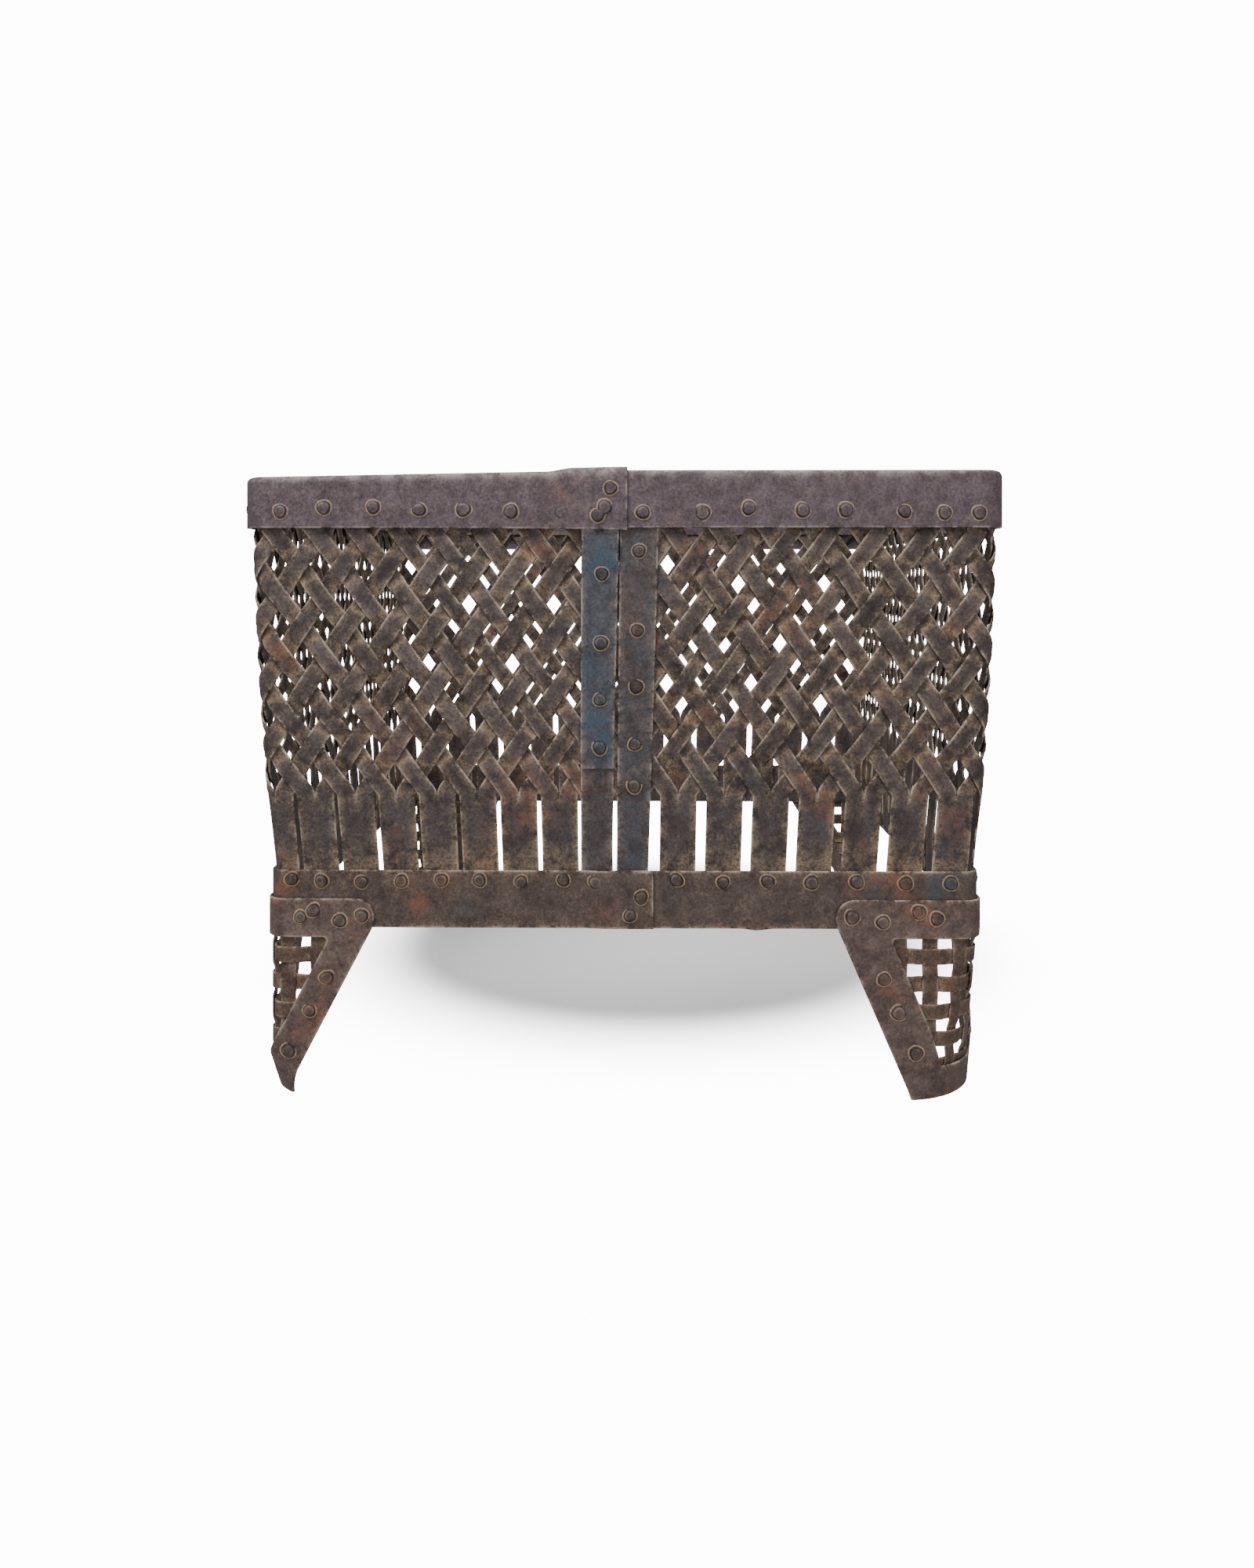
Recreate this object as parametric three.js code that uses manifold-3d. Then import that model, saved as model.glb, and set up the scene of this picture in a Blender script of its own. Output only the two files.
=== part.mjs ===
// A square basket woven from flat iron straps, on four bent-plate corner legs.
// Millimetres, +Z up, the front faces -Y, and the origin is on the floor under the basket's middle.
//
// Every piece is a flat sheet that is laid out first and bent afterwards. A flat point is
// [u, z, shift]: u runs along the wall from the front centre towards +X and once round the basket,
// z is the height, and shift is how far the sheet's middle stands out from the wall's middle surface.

import * as THREE from 'three';
import { mergeVertices } from 'three/addons/utils/BufferGeometryUtils.js';
import Module from 'manifold-3d';

const wasm = await Module();
wasm.setup();

// ---- Driving dimensions ------------------------------------------------------------------------

const BASE_WIDTH = 496; // outside of the base band
const FLARE = 14.5; // how much further out the rim's skirt stands than the base band
const HEIGHT = 436; // floor to the top of the rim
const CORNER_RADIUS = 9; // of the walls' middle surface, at the base
const CORNER_BENDS = 3; // each corner is folded in this many equal bends
const GAP = 0.3; // clearance between neighbouring pieces

const STRAP_WIDTH = 25;
const STRAP_THICKNESS = 1.5;
const STRAP_TUCK = 2; // a strap's foot ends this far above the base band's lower edge
const SPLIT_RISE = 53; // from the base band's top to where a strap is slit in two arms
const ARM_SLOPE = 1.455; // rise over run of the woven arms
const ARM_BEND = 4.4; // height over which an arm turns from upright into its slope
const LAYER_RISE = 2; // height over which an arm moves into its own layer
const ARM_TOP_TUCK = 8; // the arms end this far under the rim's top

const BAND_BOTTOM = 118;
const BAND_HEIGHT = 40;
const BAND_THICKNESS = 2;
const BAND_LAP_EDGE = 21; // place of the lap's outer end, from the front centre
const BAND_LAP = 30;
const BAND_RIVET_DROP = 7; // from the band's top edge to its rivets
const BAND_LAP_RIVETS = [0.25, 0.75]; // shares of the lap, across it and down it

const SKIRT_HEIGHT = 40; // outside of the folded rim
const INNER_SKIRT_HEIGHT = 24;
const RIM_THICKNESS = 2;
const RIM_LAP_EDGE = 3;
const RIM_LAP = 35;
const RIM_LAP_RIVET = 11.7; // from the lap's outer end to its rivet
const RIM_SHOULDER = 4; // size of the rounded shoulder along the rim's top
const RIM_RIVET_PITCH = 31;
const RIM_RIVET_DROP = 27;

const LAP_JOG = 18; // length over which a band steps out over its own end

// The front's straps: how far the middles of the outermost ones stand from the base band's corner
// and from the stile's slit, and how many there are.
const LEFT_STRAPS = { corner: 9, stile: 41.7, count: 8 };
const RIGHT_STRAPS = { corner: 21.1, stile: 39.7, count: 7 };
const STRAPS_PER_HIDDEN_WALL = 16;

const STILE_MIDDLE = -2; // the slit between the two stile straps
const STILE_SLIT = 2;
const STILE_JOG = 2; // height over which a stile strap steps out over the weave
const STILE_RIVETS = [0.195, 0.41, 0.62, 0.915]; // shares of the height from the split to the rim
const COVER_RISE = 19; // from the split to the cover plate's lower edge
const COVER_RIVETS = [0.09, 0.29, 0.525, 0.81]; // shares of the cover plate's height

const LEG_THICKNESS = 2;
const LEG_LAP = 20.6; // how far the leg plates reach up on the base band
const WINDOW_DROP = 6.3; // from the base band's lower edge to the window's top
const WINDOW_BOTTOM = 22.5;
const LEG_ELBOW = { out: 4, drop: 13, in: 9 };
const FOOT_RADIUS = 50; // of the corner bend at the floor
// A wing reaches this far from its corner at the band, its foot ends at tip on the floor, and its
// sloping bar is this wide, measured level.
const WIDE_WING = { reach: 96, tip: 45, bar: 34 };
const NARROW_WING = { reach: 70, tip: -4, bar: 30 };
const LEG_BAR_RIVET_HEIGHTS = [88, 62, 34];
const LEG_TOP_RIVETS = [0.36, 0.64, 0.9]; // shares of the wing's reach

const LATTICE_THICKNESS = 1.4;
const LATTICE_STRIP = 9.5;
const LATTICE_COLUMN_PITCH = 21.3;
const LATTICE_ROW_PITCH = 19.2;
const LATTICE_HOLE_DROP = 3.2; // from the window's top to the middle of the top row of holes
const LATTICE_MARGIN = 6; // how far the lattice runs on behind the window's edges

const RIVET_RADIUS = 4.5;
const RIVET_TOP_RADIUS = 2.8;
const RIVET_HEAD = 2;
const RIVET_ROOT = 1; // how deep a head is set into the sheet it is fused with
const RIVET_SIDES = 6;

// ---- Sizes that follow -------------------------------------------------------------------------

const LAYER_SHIFT = (STRAP_THICKNESS + GAP) / 2;
const WEAVE_FACE = LAYER_SHIFT + STRAP_THICKNESS / 2;
const BAND_SHIFT = STRAP_THICKNESS / 2 + GAP + BAND_THICKNESS / 2;
const BAND_FACE = BAND_SHIFT + BAND_THICKNESS / 2;
const LEG_SHIFT = BAND_FACE + GAP + LEG_THICKNESS / 2;
const LEG_FACE = LEG_SHIFT + LEG_THICKNESS / 2;
const LATTICE_SHIFT = BAND_FACE - LATTICE_THICKNESS / 2;
const STILE_SHIFT = WEAVE_FACE + GAP + STRAP_THICKNESS / 2;
const STILE_FACE = STILE_SHIFT + STRAP_THICKNESS / 2;
const COVER_SHIFT = STILE_FACE + GAP + STRAP_THICKNESS / 2;
const RIM_INSIDE = STILE_FACE + GAP; // from the wall's middle surface to the skirt's inner face
const RIM_FACE = RIM_INSIDE + RIM_THICKNESS;

const BAND_TOP = BAND_BOTTOM + BAND_HEIGHT;
const STRAP_BOTTOM = BAND_BOTTOM + STRAP_TUCK;
const ARM_TOP = HEIGHT - ARM_TOP_TUCK;
const SKIRT_BOTTOM = HEIGHT - SKIRT_HEIGHT;
const SPLIT_HEIGHT = BAND_TOP + SPLIT_RISE;
const LEG_TOP = BAND_BOTTOM + LEG_LAP;
const WINDOW_TOP = BAND_BOTTOM - WINDOW_DROP;
const BASE_HALF = BASE_WIDTH / 2 - BAND_FACE;
const TOP_HALF = BASE_WIDTH / 2 + FLARE - RIM_FACE;

const BEND_ANGLE = Math.PI / 2 / CORNER_BENDS;
const MITRE = 1 / Math.cos(BEND_ANGLE / 2);

// ---- The wall's surface ------------------------------------------------------------------------

const lerp = THREE.MathUtils.lerp;

const ARM_BEND_TOP = SPLIT_HEIGHT + ARM_BEND;

/** Heights at which the wall changes its lean, from the base band to the rim. */
const WALL_LEVELS = [
  BAND_TOP,
  ARM_BEND_TOP,
  lerp(ARM_BEND_TOP, HEIGHT, 1 / 2),
  HEIGHT,
];

/** Half the wall's width where it follows its curve: steep at the base band, upright at the rim. */
function curvedHalf(z) {
  const rise = (z - BAND_TOP) / (HEIGHT - BAND_TOP);
  return lerp(BASE_HALF, TOP_HALF, 1 - (1 - rise) ** 2);
}

/** Half the wall's width at a height: straight between the levels, and upright below the band's top. */
function wallHalf(z) {
  if (z <= BAND_TOP) return BASE_HALF;
  const above = WALL_LEVELS.findIndex((level) => level >= z);
  const low = WALL_LEVELS[above - 1];
  const high = WALL_LEVELS[above];
  return lerp(curvedHalf(low), curvedHalf(high), (z - low) / (high - low));
}

/** The bends of a square with folded corners, from the front-right corner round to the front-left. */
function cornerBends(half, radius) {
  const bends = [];
  for (let corner = 0; corner < 4; corner += 1) {
    const middle = (corner - 0.5) * (Math.PI / 2);
    const centre = (half - radius) * Math.SQRT2;
    for (let bend = 0; bend < CORNER_BENDS; bend += 1) {
      const angle = middle + (bend + 0.5 - CORNER_BENDS / 2) * BEND_ANGLE;
      bends.push({
        x: centre * Math.cos(middle) + radius * MITRE * Math.cos(angle),
        y: centre * Math.sin(middle) + radius * MITRE * Math.sin(angle),
        nx: MITRE * Math.cos(angle),
        ny: MITRE * Math.sin(angle),
      });
    }
  }
  return bends;
}

/** The closed path round the base, with the running length at each of its points. */
function basePath() {
  const start = { x: 0, y: -BASE_HALF, nx: 0, ny: -1 };
  const path = [start, ...cornerBends(BASE_HALF, CORNER_RADIUS), { ...start }];
  path[0].u = 0;
  for (let i = 1; i < path.length; i += 1) {
    path[i].u = path[i - 1].u + Math.hypot(path[i].x - path[i - 1].x, path[i].y - path[i - 1].y);
  }
  return path;
}

const PATH = basePath();
const ROUND = PATH[PATH.length - 1].u; // the length once round the base

/** A point of the wall: along it, up it and out of its middle surface. */
function placeOnWall(u, z, out, half = wallHalf(z)) {
  const along = ((u % ROUND) + ROUND) % ROUND;
  const next = Math.max(1, PATH.findIndex((point) => point.u >= along));
  const from = PATH[next - 1];
  const to = PATH[next];
  const share = (along - from.u) / (to.u - from.u);
  const scale = half / BASE_HALF;
  return new THREE.Vector3(
    lerp(from.x, to.x, share) * scale + lerp(from.nx, to.nx, share) * out,
    lerp(from.y, to.y, share) * scale + lerp(from.ny, to.ny, share) * out,
    z,
  );
}

// ---- Flat sheets -------------------------------------------------------------------------------

const TINY = 1e-6;
const WELD = 1e-3; // flat points closer than this are one point
const SOLID_WELD = 1e-4; // and so are a closed body's corners
const SLIVER = 1e-3; // a flat polygon with less area than this is dropped

/** Twice the signed area of a flat polygon. */
function doubleArea(polygon) {
  return polygon.reduce((sum, point, i) => {
    const next = polygon[(i + 1) % polygon.length];
    return sum + point[0] * next[1] - next[0] * point[1];
  }, 0);
}

/** The part of a convex polygon where side(point) is not positive. */
function clip(polygon, side) {
  const kept = [];
  polygon.forEach((point, i) => {
    const next = polygon[(i + 1) % polygon.length];
    const here = side(point);
    const there = side(next);
    if (here <= TINY) kept.push(point);
    if (Math.min(here, there) < -TINY && Math.max(here, there) > TINY) {
      const share = here / (here - there);
      kept.push(point.map((value, axis) => lerp(value, next[axis], share)));
    }
  });
  return kept;
}

/** Drops what is left without an area after a cut. */
const withArea = (polygons) => polygons.filter((polygon) => Math.abs(doubleArea(polygon)) > SLIVER);

/** Keeps the side of each polygon where side(point) is not positive. */
const keepSide = (polygons, side) => withArea(polygons.map((polygon) => clip(polygon, side)));

/** Cuts each polygon in two along side(point) = 0, and keeps both halves. */
function cutAlong(polygons, side) {
  const opposite = (point) => -side(point);
  return [...keepSide(polygons, side), ...keepSide(polygons, opposite)];
}

/** Cuts a wall sheet along every fold that it crosses: the corners' bends and the wall's levels. */
function foldWall(polygons) {
  const across = polygons.flat().map((point) => point[0]);
  const low = Math.min(...across);
  const high = Math.max(...across);
  let pieces = polygons;
  for (let turn = Math.floor(low / ROUND); turn <= Math.floor(high / ROUND); turn += 1) {
    for (const bend of PATH.slice(1, -1)) {
      const fold = bend.u + turn * ROUND;
      if (fold > low && fold < high) pieces = cutAlong(pieces, (point) => point[0] - fold);
    }
  }
  for (const level of WALL_LEVELS) pieces = cutAlong(pieces, (point) => point[1] - level);
  return pieces;
}

/** A ladder of quads through stations, each of them [leftU, rightU, z, shift]. */
function ladder(stations) {
  return stations.slice(1).map(([left, right, z, shift], i) => {
    const [leftBelow, rightBelow, zBelow, shiftBelow] = stations[i];
    return [
      [leftBelow, zBelow, shiftBelow],
      [rightBelow, zBelow, shiftBelow],
      [right, z, shift],
      [left, z, shift],
    ];
  });
}

/** Gives flat polygons their thickness and bends them into place, as one closed body. */
function bendSheet(polygons, thickness, place) {
  const ids = new Map();
  const positions = [];
  const idOf = (point) => {
    const key = `${Math.round(point[0] / WELD)} ${Math.round(point[1] / WELD)}`;
    if (!ids.has(key)) {
      ids.set(key, ids.size);
      for (const side of [0.5, -0.5]) {
        positions.push(...place(point[0], point[1], point[2] + side * thickness).toArray());
      }
    }
    return ids.get(key);
  };
  const outer = (id) => 2 * id;
  const inner = (id) => 2 * id + 1;
  const faces = [];
  const edges = new Map();
  for (const polygon of polygons) {
    const ring = polygon.map(idOf).filter((id, i, all) => id !== all[(i + 1) % all.length]);
    if (doubleArea(polygon) < 0) ring.reverse();
    for (let i = 1; i < ring.length - 1; i += 1) {
      faces.push(outer(ring[0]), outer(ring[i]), outer(ring[i + 1]));
      faces.push(inner(ring[i + 1]), inner(ring[i]), inner(ring[0]));
    }
    ring.forEach((id, i) => {
      const next = ring[(i + 1) % ring.length];
      if (edges.has(`${next} ${id}`)) edges.delete(`${next} ${id}`);
      else edges.set(`${id} ${next}`, [id, next]);
    });
  }
  for (const [id, next] of edges.values()) {
    faces.push(outer(next), outer(id), inner(id));
    faces.push(outer(next), inner(id), inner(next));
  }
  return closedGeometry(positions, faces);
}

/** A geometry from plain lists of coordinates and corner numbers. */
function closedGeometry(positions, faces) {
  const geometry = new THREE.BufferGeometry();
  geometry.setAttribute('position', new THREE.Float32BufferAttribute(positions, 3));
  geometry.setIndex(faces);
  return geometry;
}

// ---- Joining -----------------------------------------------------------------------------------

/** The solid of a closed geometry. */
function solidOf(geometry) {
  const bare = geometry.clone();
  bare.deleteAttribute('normal');
  bare.deleteAttribute('uv');
  const merged = mergeVertices(bare, SOLID_WELD);
  return new wasm.Manifold(
    new wasm.Mesh({
      numProp: 3,
      vertProperties: new Float32Array(merged.attributes.position.array),
      triVerts: new Uint32Array(merged.index.array),
    }),
  );
}

/** The geometry of a solid. */
function geometryOf(solid) {
  const { vertProperties, triVerts } = solid.getMesh();
  return closedGeometry(Array.from(vertProperties), Array.from(triVerts));
}

/** A rivet head standing at [u, z, face], where the sheet's face is that far out from the wall. */
function rivetHead(place, [u, z, face]) {
  const height = RIVET_ROOT + RIVET_HEAD;
  const head = new THREE.CylinderGeometry(RIVET_TOP_RADIUS, RIVET_RADIUS, height, RIVET_SIDES);
  head.translate(0, height / 2 - RIVET_ROOT, 0);
  const foot = place(u, z, face);
  const outwards = place(u, z, face + 1).sub(foot).normalize();
  const turn = new THREE.Quaternion().setFromUnitVectors(new THREE.Vector3(0, 1, 0), outwards);
  return head.applyQuaternion(turn).translate(...foot.toArray());
}

/** A sheet with its rivet heads fused on. */
function riveted(geometry, spots, place) {
  let solid = solidOf(geometry);
  for (const spot of spots) solid = solid.add(solidOf(rivetHead(place, spot)));
  return geometryOf(solid);
}

// ---- Woven straps ------------------------------------------------------------------------------

/**
 * One arm of a strap whose upright part stands at u and shift.
 * Side -1 leans left in the outer layer, and side 1 leans right in the inner layer.
 */
function armLadder(u, side, upright) {
  const run = 1 / ARM_SLOPE;
  const heights = [0, LAYER_RISE, ARM_BEND, ARM_TOP - SPLIT_HEIGHT];
  return ladder(
    heights.map((rise) => {
      const bent = Math.min(rise, ARM_BEND);
      const lean = (run * bent) / ARM_BEND;
      const drift = (lean * bent) / 2 + run * (rise - bent);
      const middle = u + side * (STRAP_WIDTH / 4 + drift);
      const half = (STRAP_WIDTH / 4) * Math.hypot(1, lean);
      const shift = lerp(upright, -side * LAYER_SHIFT, Math.min(1, rise / LAYER_RISE));
      return [middle - half, middle + half, SPLIT_HEIGHT + rise, shift];
    }),
  );
}

/** The flat outline of one strap: an upright part and its two arms. */
function strapOutline(u, shift) {
  const half = STRAP_WIDTH / 2;
  const upright = (left, right) =>
    ladder([STRAP_BOTTOM, BAND_TOP, SPLIT_HEIGHT].map((z) => [left, right, z, shift]));
  const arms = [...armLadder(u, -1, shift), ...armLadder(u, 1, shift)];
  return [...upright(u - half, u), ...upright(u, u + half), ...arms];
}

/** Straps at the given places, joined behind the base band where there is more than one. */
function wovenStraps(places, shift = 0) {
  const outlines = places.flatMap((u) => strapOutline(u, shift));
  const tie = (u, next) => [u + STRAP_WIDTH / 2, next - STRAP_WIDTH / 2];
  const ties = places.slice(1).flatMap((next, i) =>
    ladder([STRAP_BOTTOM, BAND_TOP].map((z) => [...tie(places[i], next), z, shift])),
  );
  return bendSheet(foldWall([...outlines, ...ties]), STRAP_THICKNESS, placeOnWall);
}

/** The straps between the stile and one corner, outwards, on side -1 or 1 of the stile. */
function frontPlaces({ corner, stile, count }, side) {
  const first = STILE_MIDDLE + side * stile;
  const last = side * (BASE_WIDTH / 2 - corner);
  return Array.from({ length: count }, (_, i) => lerp(first, last, i / (count - 1)));
}

const LEFT_PLACES = frontPlaces(LEFT_STRAPS, -1).reverse();
const RIGHT_PLACES = frontPlaces(RIGHT_STRAPS, 1);

/** The straps of the other three walls, evenly spaced from the front's last strap to its first. */
function hiddenPlaces() {
  const first = RIGHT_PLACES[RIGHT_PLACES.length - 1];
  const count = 3 * STRAPS_PER_HIDDEN_WALL;
  const pitch = (ROUND + LEFT_PLACES[0] - first) / (count + 1);
  return Array.from({ length: count }, (_, i) => first + pitch * (i + 1));
}

const HIDDEN_PLACES = hiddenPlaces();

// ---- Stile -------------------------------------------------------------------------------------

/** One unslit stile strap, which steps out over the weave where the strap behind it is slit. */
function stileStrap(left, right) {
  const heights = [
    [STRAP_BOTTOM, 0],
    [SPLIT_HEIGHT, 0],
    [SPLIT_HEIGHT + STILE_JOG, STILE_SHIFT],
    [ARM_TOP, STILE_SHIFT],
  ];
  const outline = ladder(heights.map(([z, shift]) => [left, right, z, shift]));
  return bendSheet(foldWall(outline), STRAP_THICKNESS, placeOnWall);
}

const STILE_LEFT_EDGE = STILE_MIDDLE - STILE_SLIT / 2;
const STILE_RIGHT_EDGE = STILE_MIDDLE + STILE_SLIT / 2;
const STILE_PLACES = [STILE_LEFT_EDGE - STRAP_WIDTH / 2, STILE_RIGHT_EDGE + STRAP_WIDTH / 2];

/** The left stile strap is plain, because the cover plate lies on it. */
const stileStrapLeft = () => stileStrap(STILE_LEFT_EDGE - STRAP_WIDTH, STILE_LEFT_EDGE);

/** The right stile strap carries its own row of rivets. */
function stileStrapRight() {
  const strap = stileStrap(STILE_RIGHT_EDGE, STILE_RIGHT_EDGE + STRAP_WIDTH);
  const heights = STILE_RIVETS.map((share) => lerp(SPLIT_HEIGHT, SKIRT_BOTTOM, share));
  const spots = heights.map((z) => [STILE_RIGHT_EDGE + STRAP_WIDTH / 2, z, STILE_FACE]);
  return riveted(strap, spots, placeOnWall);
}

/** The plate over the left stile strap, with its row of rivets. */
function stileCover() {
  const right = STILE_LEFT_EDGE;
  const left = right - STRAP_WIDTH;
  const bottom = SPLIT_HEIGHT + COVER_RISE;
  const top = SKIRT_BOTTOM - GAP;
  const outline = ladder([bottom, top].map((z) => [left, right, z, COVER_SHIFT]));
  const plate = bendSheet(foldWall(outline), STRAP_THICKNESS, placeOnWall);
  const face = COVER_SHIFT + STRAP_THICKNESS / 2;
  const spots = COVER_RIVETS.map((share) => [(left + right) / 2, lerp(bottom, top, share), face]);
  return riveted(plate, spots, placeOnWall);
}

// ---- Bands -------------------------------------------------------------------------------------

/** Where a lapped band stands: [u, step], from its covered end round to its outer end. */
function lapStations(edge, lap) {
  const start = edge - lap;
  const bends = PATH.slice(1, -1).map((bend) => [bend.u, 0]);
  const jog = ROUND + start - GAP;
  return [[start, 0], ...bends, [jog - LAP_JOG, 0], [jog, 1], [ROUND + edge, 1]];
}

/** Places of rivets kept off the folded corners. */
function offCorners(u) {
  const side = ROUND / 4;
  const flat = BASE_HALF - CORNER_RADIUS - RIVET_RADIUS;
  const middle = Math.round(u / side) * side;
  return middle + THREE.MathUtils.clamp(u - middle, -flat, flat);
}

/** The flat iron round the walls' foot, lapped over its own end at the front. */
function baseBand() {
  const step = BAND_THICKNESS + GAP;
  const stations = lapStations(BAND_LAP_EDGE, BAND_LAP);
  const outline = stations.slice(1).map(([u, over], i) => {
    const [from, overFrom] = stations[i];
    return [
      [from, BAND_BOTTOM, BAND_SHIFT + overFrom * step],
      [u, BAND_BOTTOM, BAND_SHIFT + over * step],
      [u, BAND_TOP, BAND_SHIFT + over * step],
      [from, BAND_TOP, BAND_SHIFT + overFrom * step],
    ];
  });
  const band = bendSheet(outline, BAND_THICKNESS, placeOnWall);
  const clear = (u) => Math.abs(u) > BAND_LAP + LAP_JOG;
  const straps = [...LEFT_PLACES, ...RIGHT_PLACES, ...HIDDEN_PLACES].filter(clear).map(offCorners);
  const row = straps.map((u) => [u, BAND_TOP - BAND_RIVET_DROP, BAND_FACE]);
  const lap = BAND_LAP_RIVETS.map((share) => [
    BAND_LAP_EDGE - share * BAND_LAP,
    BAND_TOP - share * BAND_HEIGHT,
    BAND_FACE + step,
  ]);
  return riveted(band, [...row, ...lap], placeOnWall);
}

/** The rim's section, an upside-down channel, as [out, z] points. A step of 1 clears its own end. */
function rimSection(over) {
  const grow = over * (RIM_THICKNESS + GAP);
  const lean = TOP_HALF - wallHalf(HEIGHT - INNER_SKIRT_HEIGHT);
  const inside = RIM_INSIDE + grow;
  const behind = -(WEAVE_FACE + GAP + lean + grow);
  const top = HEIGHT + grow;
  return [
    [inside, SKIRT_BOTTOM],
    [inside + RIM_THICKNESS, SKIRT_BOTTOM],
    [inside + RIM_THICKNESS, top - RIM_SHOULDER],
    [inside, top],
    [behind, top],
    [behind - RIM_THICKNESS, top - RIM_SHOULDER],
    [behind - RIM_THICKNESS, HEIGHT - INNER_SKIRT_HEIGHT],
    [behind, HEIGHT - INNER_SKIRT_HEIGHT],
    [behind, top - RIM_THICKNESS],
    [inside, top - RIM_THICKNESS],
  ];
}

const placeOnRim = (u, z, out) => placeOnWall(u, z, out, TOP_HALF);

/** The flat iron folded over the weave's top edge, lapped over its own end at the front. */
function rimBand() {
  const stations = lapStations(RIM_LAP_EDGE, RIM_LAP);
  const positions = [];
  const faces = [];
  const section = rimSection(0);
  const size = section.length;
  for (const [u, over] of stations) {
    for (const [out, z] of rimSection(over)) positions.push(...placeOnRim(u, z, out).toArray());
  }
  for (let ring = 0; ring < stations.length - 1; ring += 1) {
    for (let i = 0; i < size; i += 1) {
      const here = ring * size + i;
      const beside = ring * size + ((i + 1) % size);
      faces.push(here, here + size, beside + size);
      faces.push(here, beside + size, beside);
    }
  }
  const outline = section.map(([out, z]) => new THREE.Vector2(out, z));
  const lastRing = (stations.length - 1) * size;
  for (const [a, b, c] of THREE.ShapeUtils.triangulateShape(outline, [])) {
    faces.push(a, b, c);
    faces.push(lastRing + c, lastRing + b, lastRing + a);
  }
  return riveted(closedGeometry(positions, faces), rimRivets(), placeOnRim);
}

/** The rim's rivets: a row round the skirt, clear of the lap and its jog, and one through the lap. */
function rimRivets() {
  const z = HEIGHT - RIM_RIVET_DROP;
  const count = Math.round(ROUND / RIM_RIVET_PITCH);
  const row = Array.from({ length: count - 1 }, (_, i) => offCorners(((i + 1) * ROUND) / count));
  const lapStart = ROUND + RIM_LAP_EDGE - RIM_LAP - LAP_JOG - RIVET_RADIUS;
  const single = row.filter((u) => u > RIM_LAP_EDGE + RIVET_RADIUS && u < lapStart);
  const spots = single.map((u) => [u, z, RIM_FACE]);
  return [...spots, [RIM_LAP_EDGE - RIM_LAP_RIVET, z, RIM_FACE + RIM_THICKNESS + GAP]];
}

// ---- Legs --------------------------------------------------------------------------------------

/** The corner's bend radius at a height: tight on the band, opening evenly towards the floor. */
function legRadius(z) {
  const drop = Math.max(0, (BAND_BOTTOM - z) / BAND_BOTTOM);
  return lerp(CORNER_RADIUS, FOOT_RADIUS, drop);
}

/** Flat distance from the corner to its outermost folds, for a bend radius. */
const foldReach = (radius) => radius * (1 - Math.tan(BEND_ANGLE / 2));

/** Makes the placing function of one corner's sheets. Flat u is 0 at the corner. */
function placeOnCorner(corner) {
  const before = (corner - 1) * (Math.PI / 2);
  const after = corner * (Math.PI / 2);
  return (u, z, out) => {
    const radius = legRadius(z);
    const reach = foldReach(radius);
    if (Math.abs(u) > reach + TINY) {
      const facing = u < 0 ? before : after;
      const along = u < 0 ? BASE_HALF + u : u - BASE_HALF;
      return new THREE.Vector3(
        (BASE_HALF + out) * Math.cos(facing) - along * Math.sin(facing),
        (BASE_HALF + out) * Math.sin(facing) + along * Math.cos(facing),
        z,
      );
    }
    const firstBend = corner * CORNER_BENDS;
    const bends = cornerBends(BASE_HALF, radius).slice(firstBend, firstBend + CORNER_BENDS);
    const spot = ((u + reach) / (2 * reach)) * (CORNER_BENDS - 1);
    const first = THREE.MathUtils.clamp(Math.floor(spot), 0, CORNER_BENDS - 2);
    const share = spot - first;
    const from = bends[first];
    const to = bends[first + 1];
    return new THREE.Vector3(
      lerp(from.x + from.nx * out, to.x + to.nx * out, share),
      lerp(from.y + from.ny * out, to.y + to.ny * out, share),
      z,
    );
  };
}

/** Cuts a corner sheet along the band's lower edge and along the folds above and below it. */
function foldCorner(polygons) {
  let pieces = cutAlong(polygons, (point) => point[1] - BAND_BOTTOM);
  for (let bend = 0; bend < CORNER_BENDS; bend += 1) {
    const share = (2 * bend) / (CORNER_BENDS - 1) - 1;
    const upper = pieces.filter((polygon) => polygon.some((point) => point[1] > BAND_BOTTOM + TINY));
    const lower = pieces.filter((polygon) => !upper.includes(polygon));
    const uprightFold = (point) => point[0] - share * foldReach(CORNER_RADIUS);
    const openingFold = (point) => point[0] - share * foldReach(legRadius(point[1]));
    pieces = [...cutAlong(upper, uprightFold), ...cutAlong(lower, openingFold)];
  }
  return pieces;
}

/** Where a wing's free edge stands at a height below the band, measured from the corner. */
const wingEdge = (wing, z) => lerp(wing.tip, wing.reach, z / BAND_BOTTOM);

/** Where a wing's window ends at a height, measured from the corner. */
const windowEdge = (wing, z) => wingEdge(wing, z) - wing.bar;

/** The window between two wings as a convex polygon, grown by a margin all round but at its top. */
function windowOutline(before, after, top, margin) {
  const bottom = WINDOW_BOTTOM - margin;
  const width = before.reach + after.reach;
  const board = [[-width, bottom, 0], [width, bottom, 0], [width, top, 0], [-width, top, 0]];
  const pastBefore = ([u, z]) => -u - windowEdge(before, z) - margin;
  const pastAfter = ([u, z]) => u - windowEdge(after, z) - margin;
  return clip(clip(board, pastBefore), pastAfter);
}

/** The outer edge of a leg plate's wing, from the floor up to the top edge. */
const wingOutline = (wing) => [
  [wing.tip, 0],
  [wing.reach, BAND_BOTTOM],
  [wing.reach + LEG_ELBOW.out, LEG_TOP - LEG_ELBOW.drop],
  [wing.reach - LEG_ELBOW.in, LEG_TOP],
];

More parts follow.
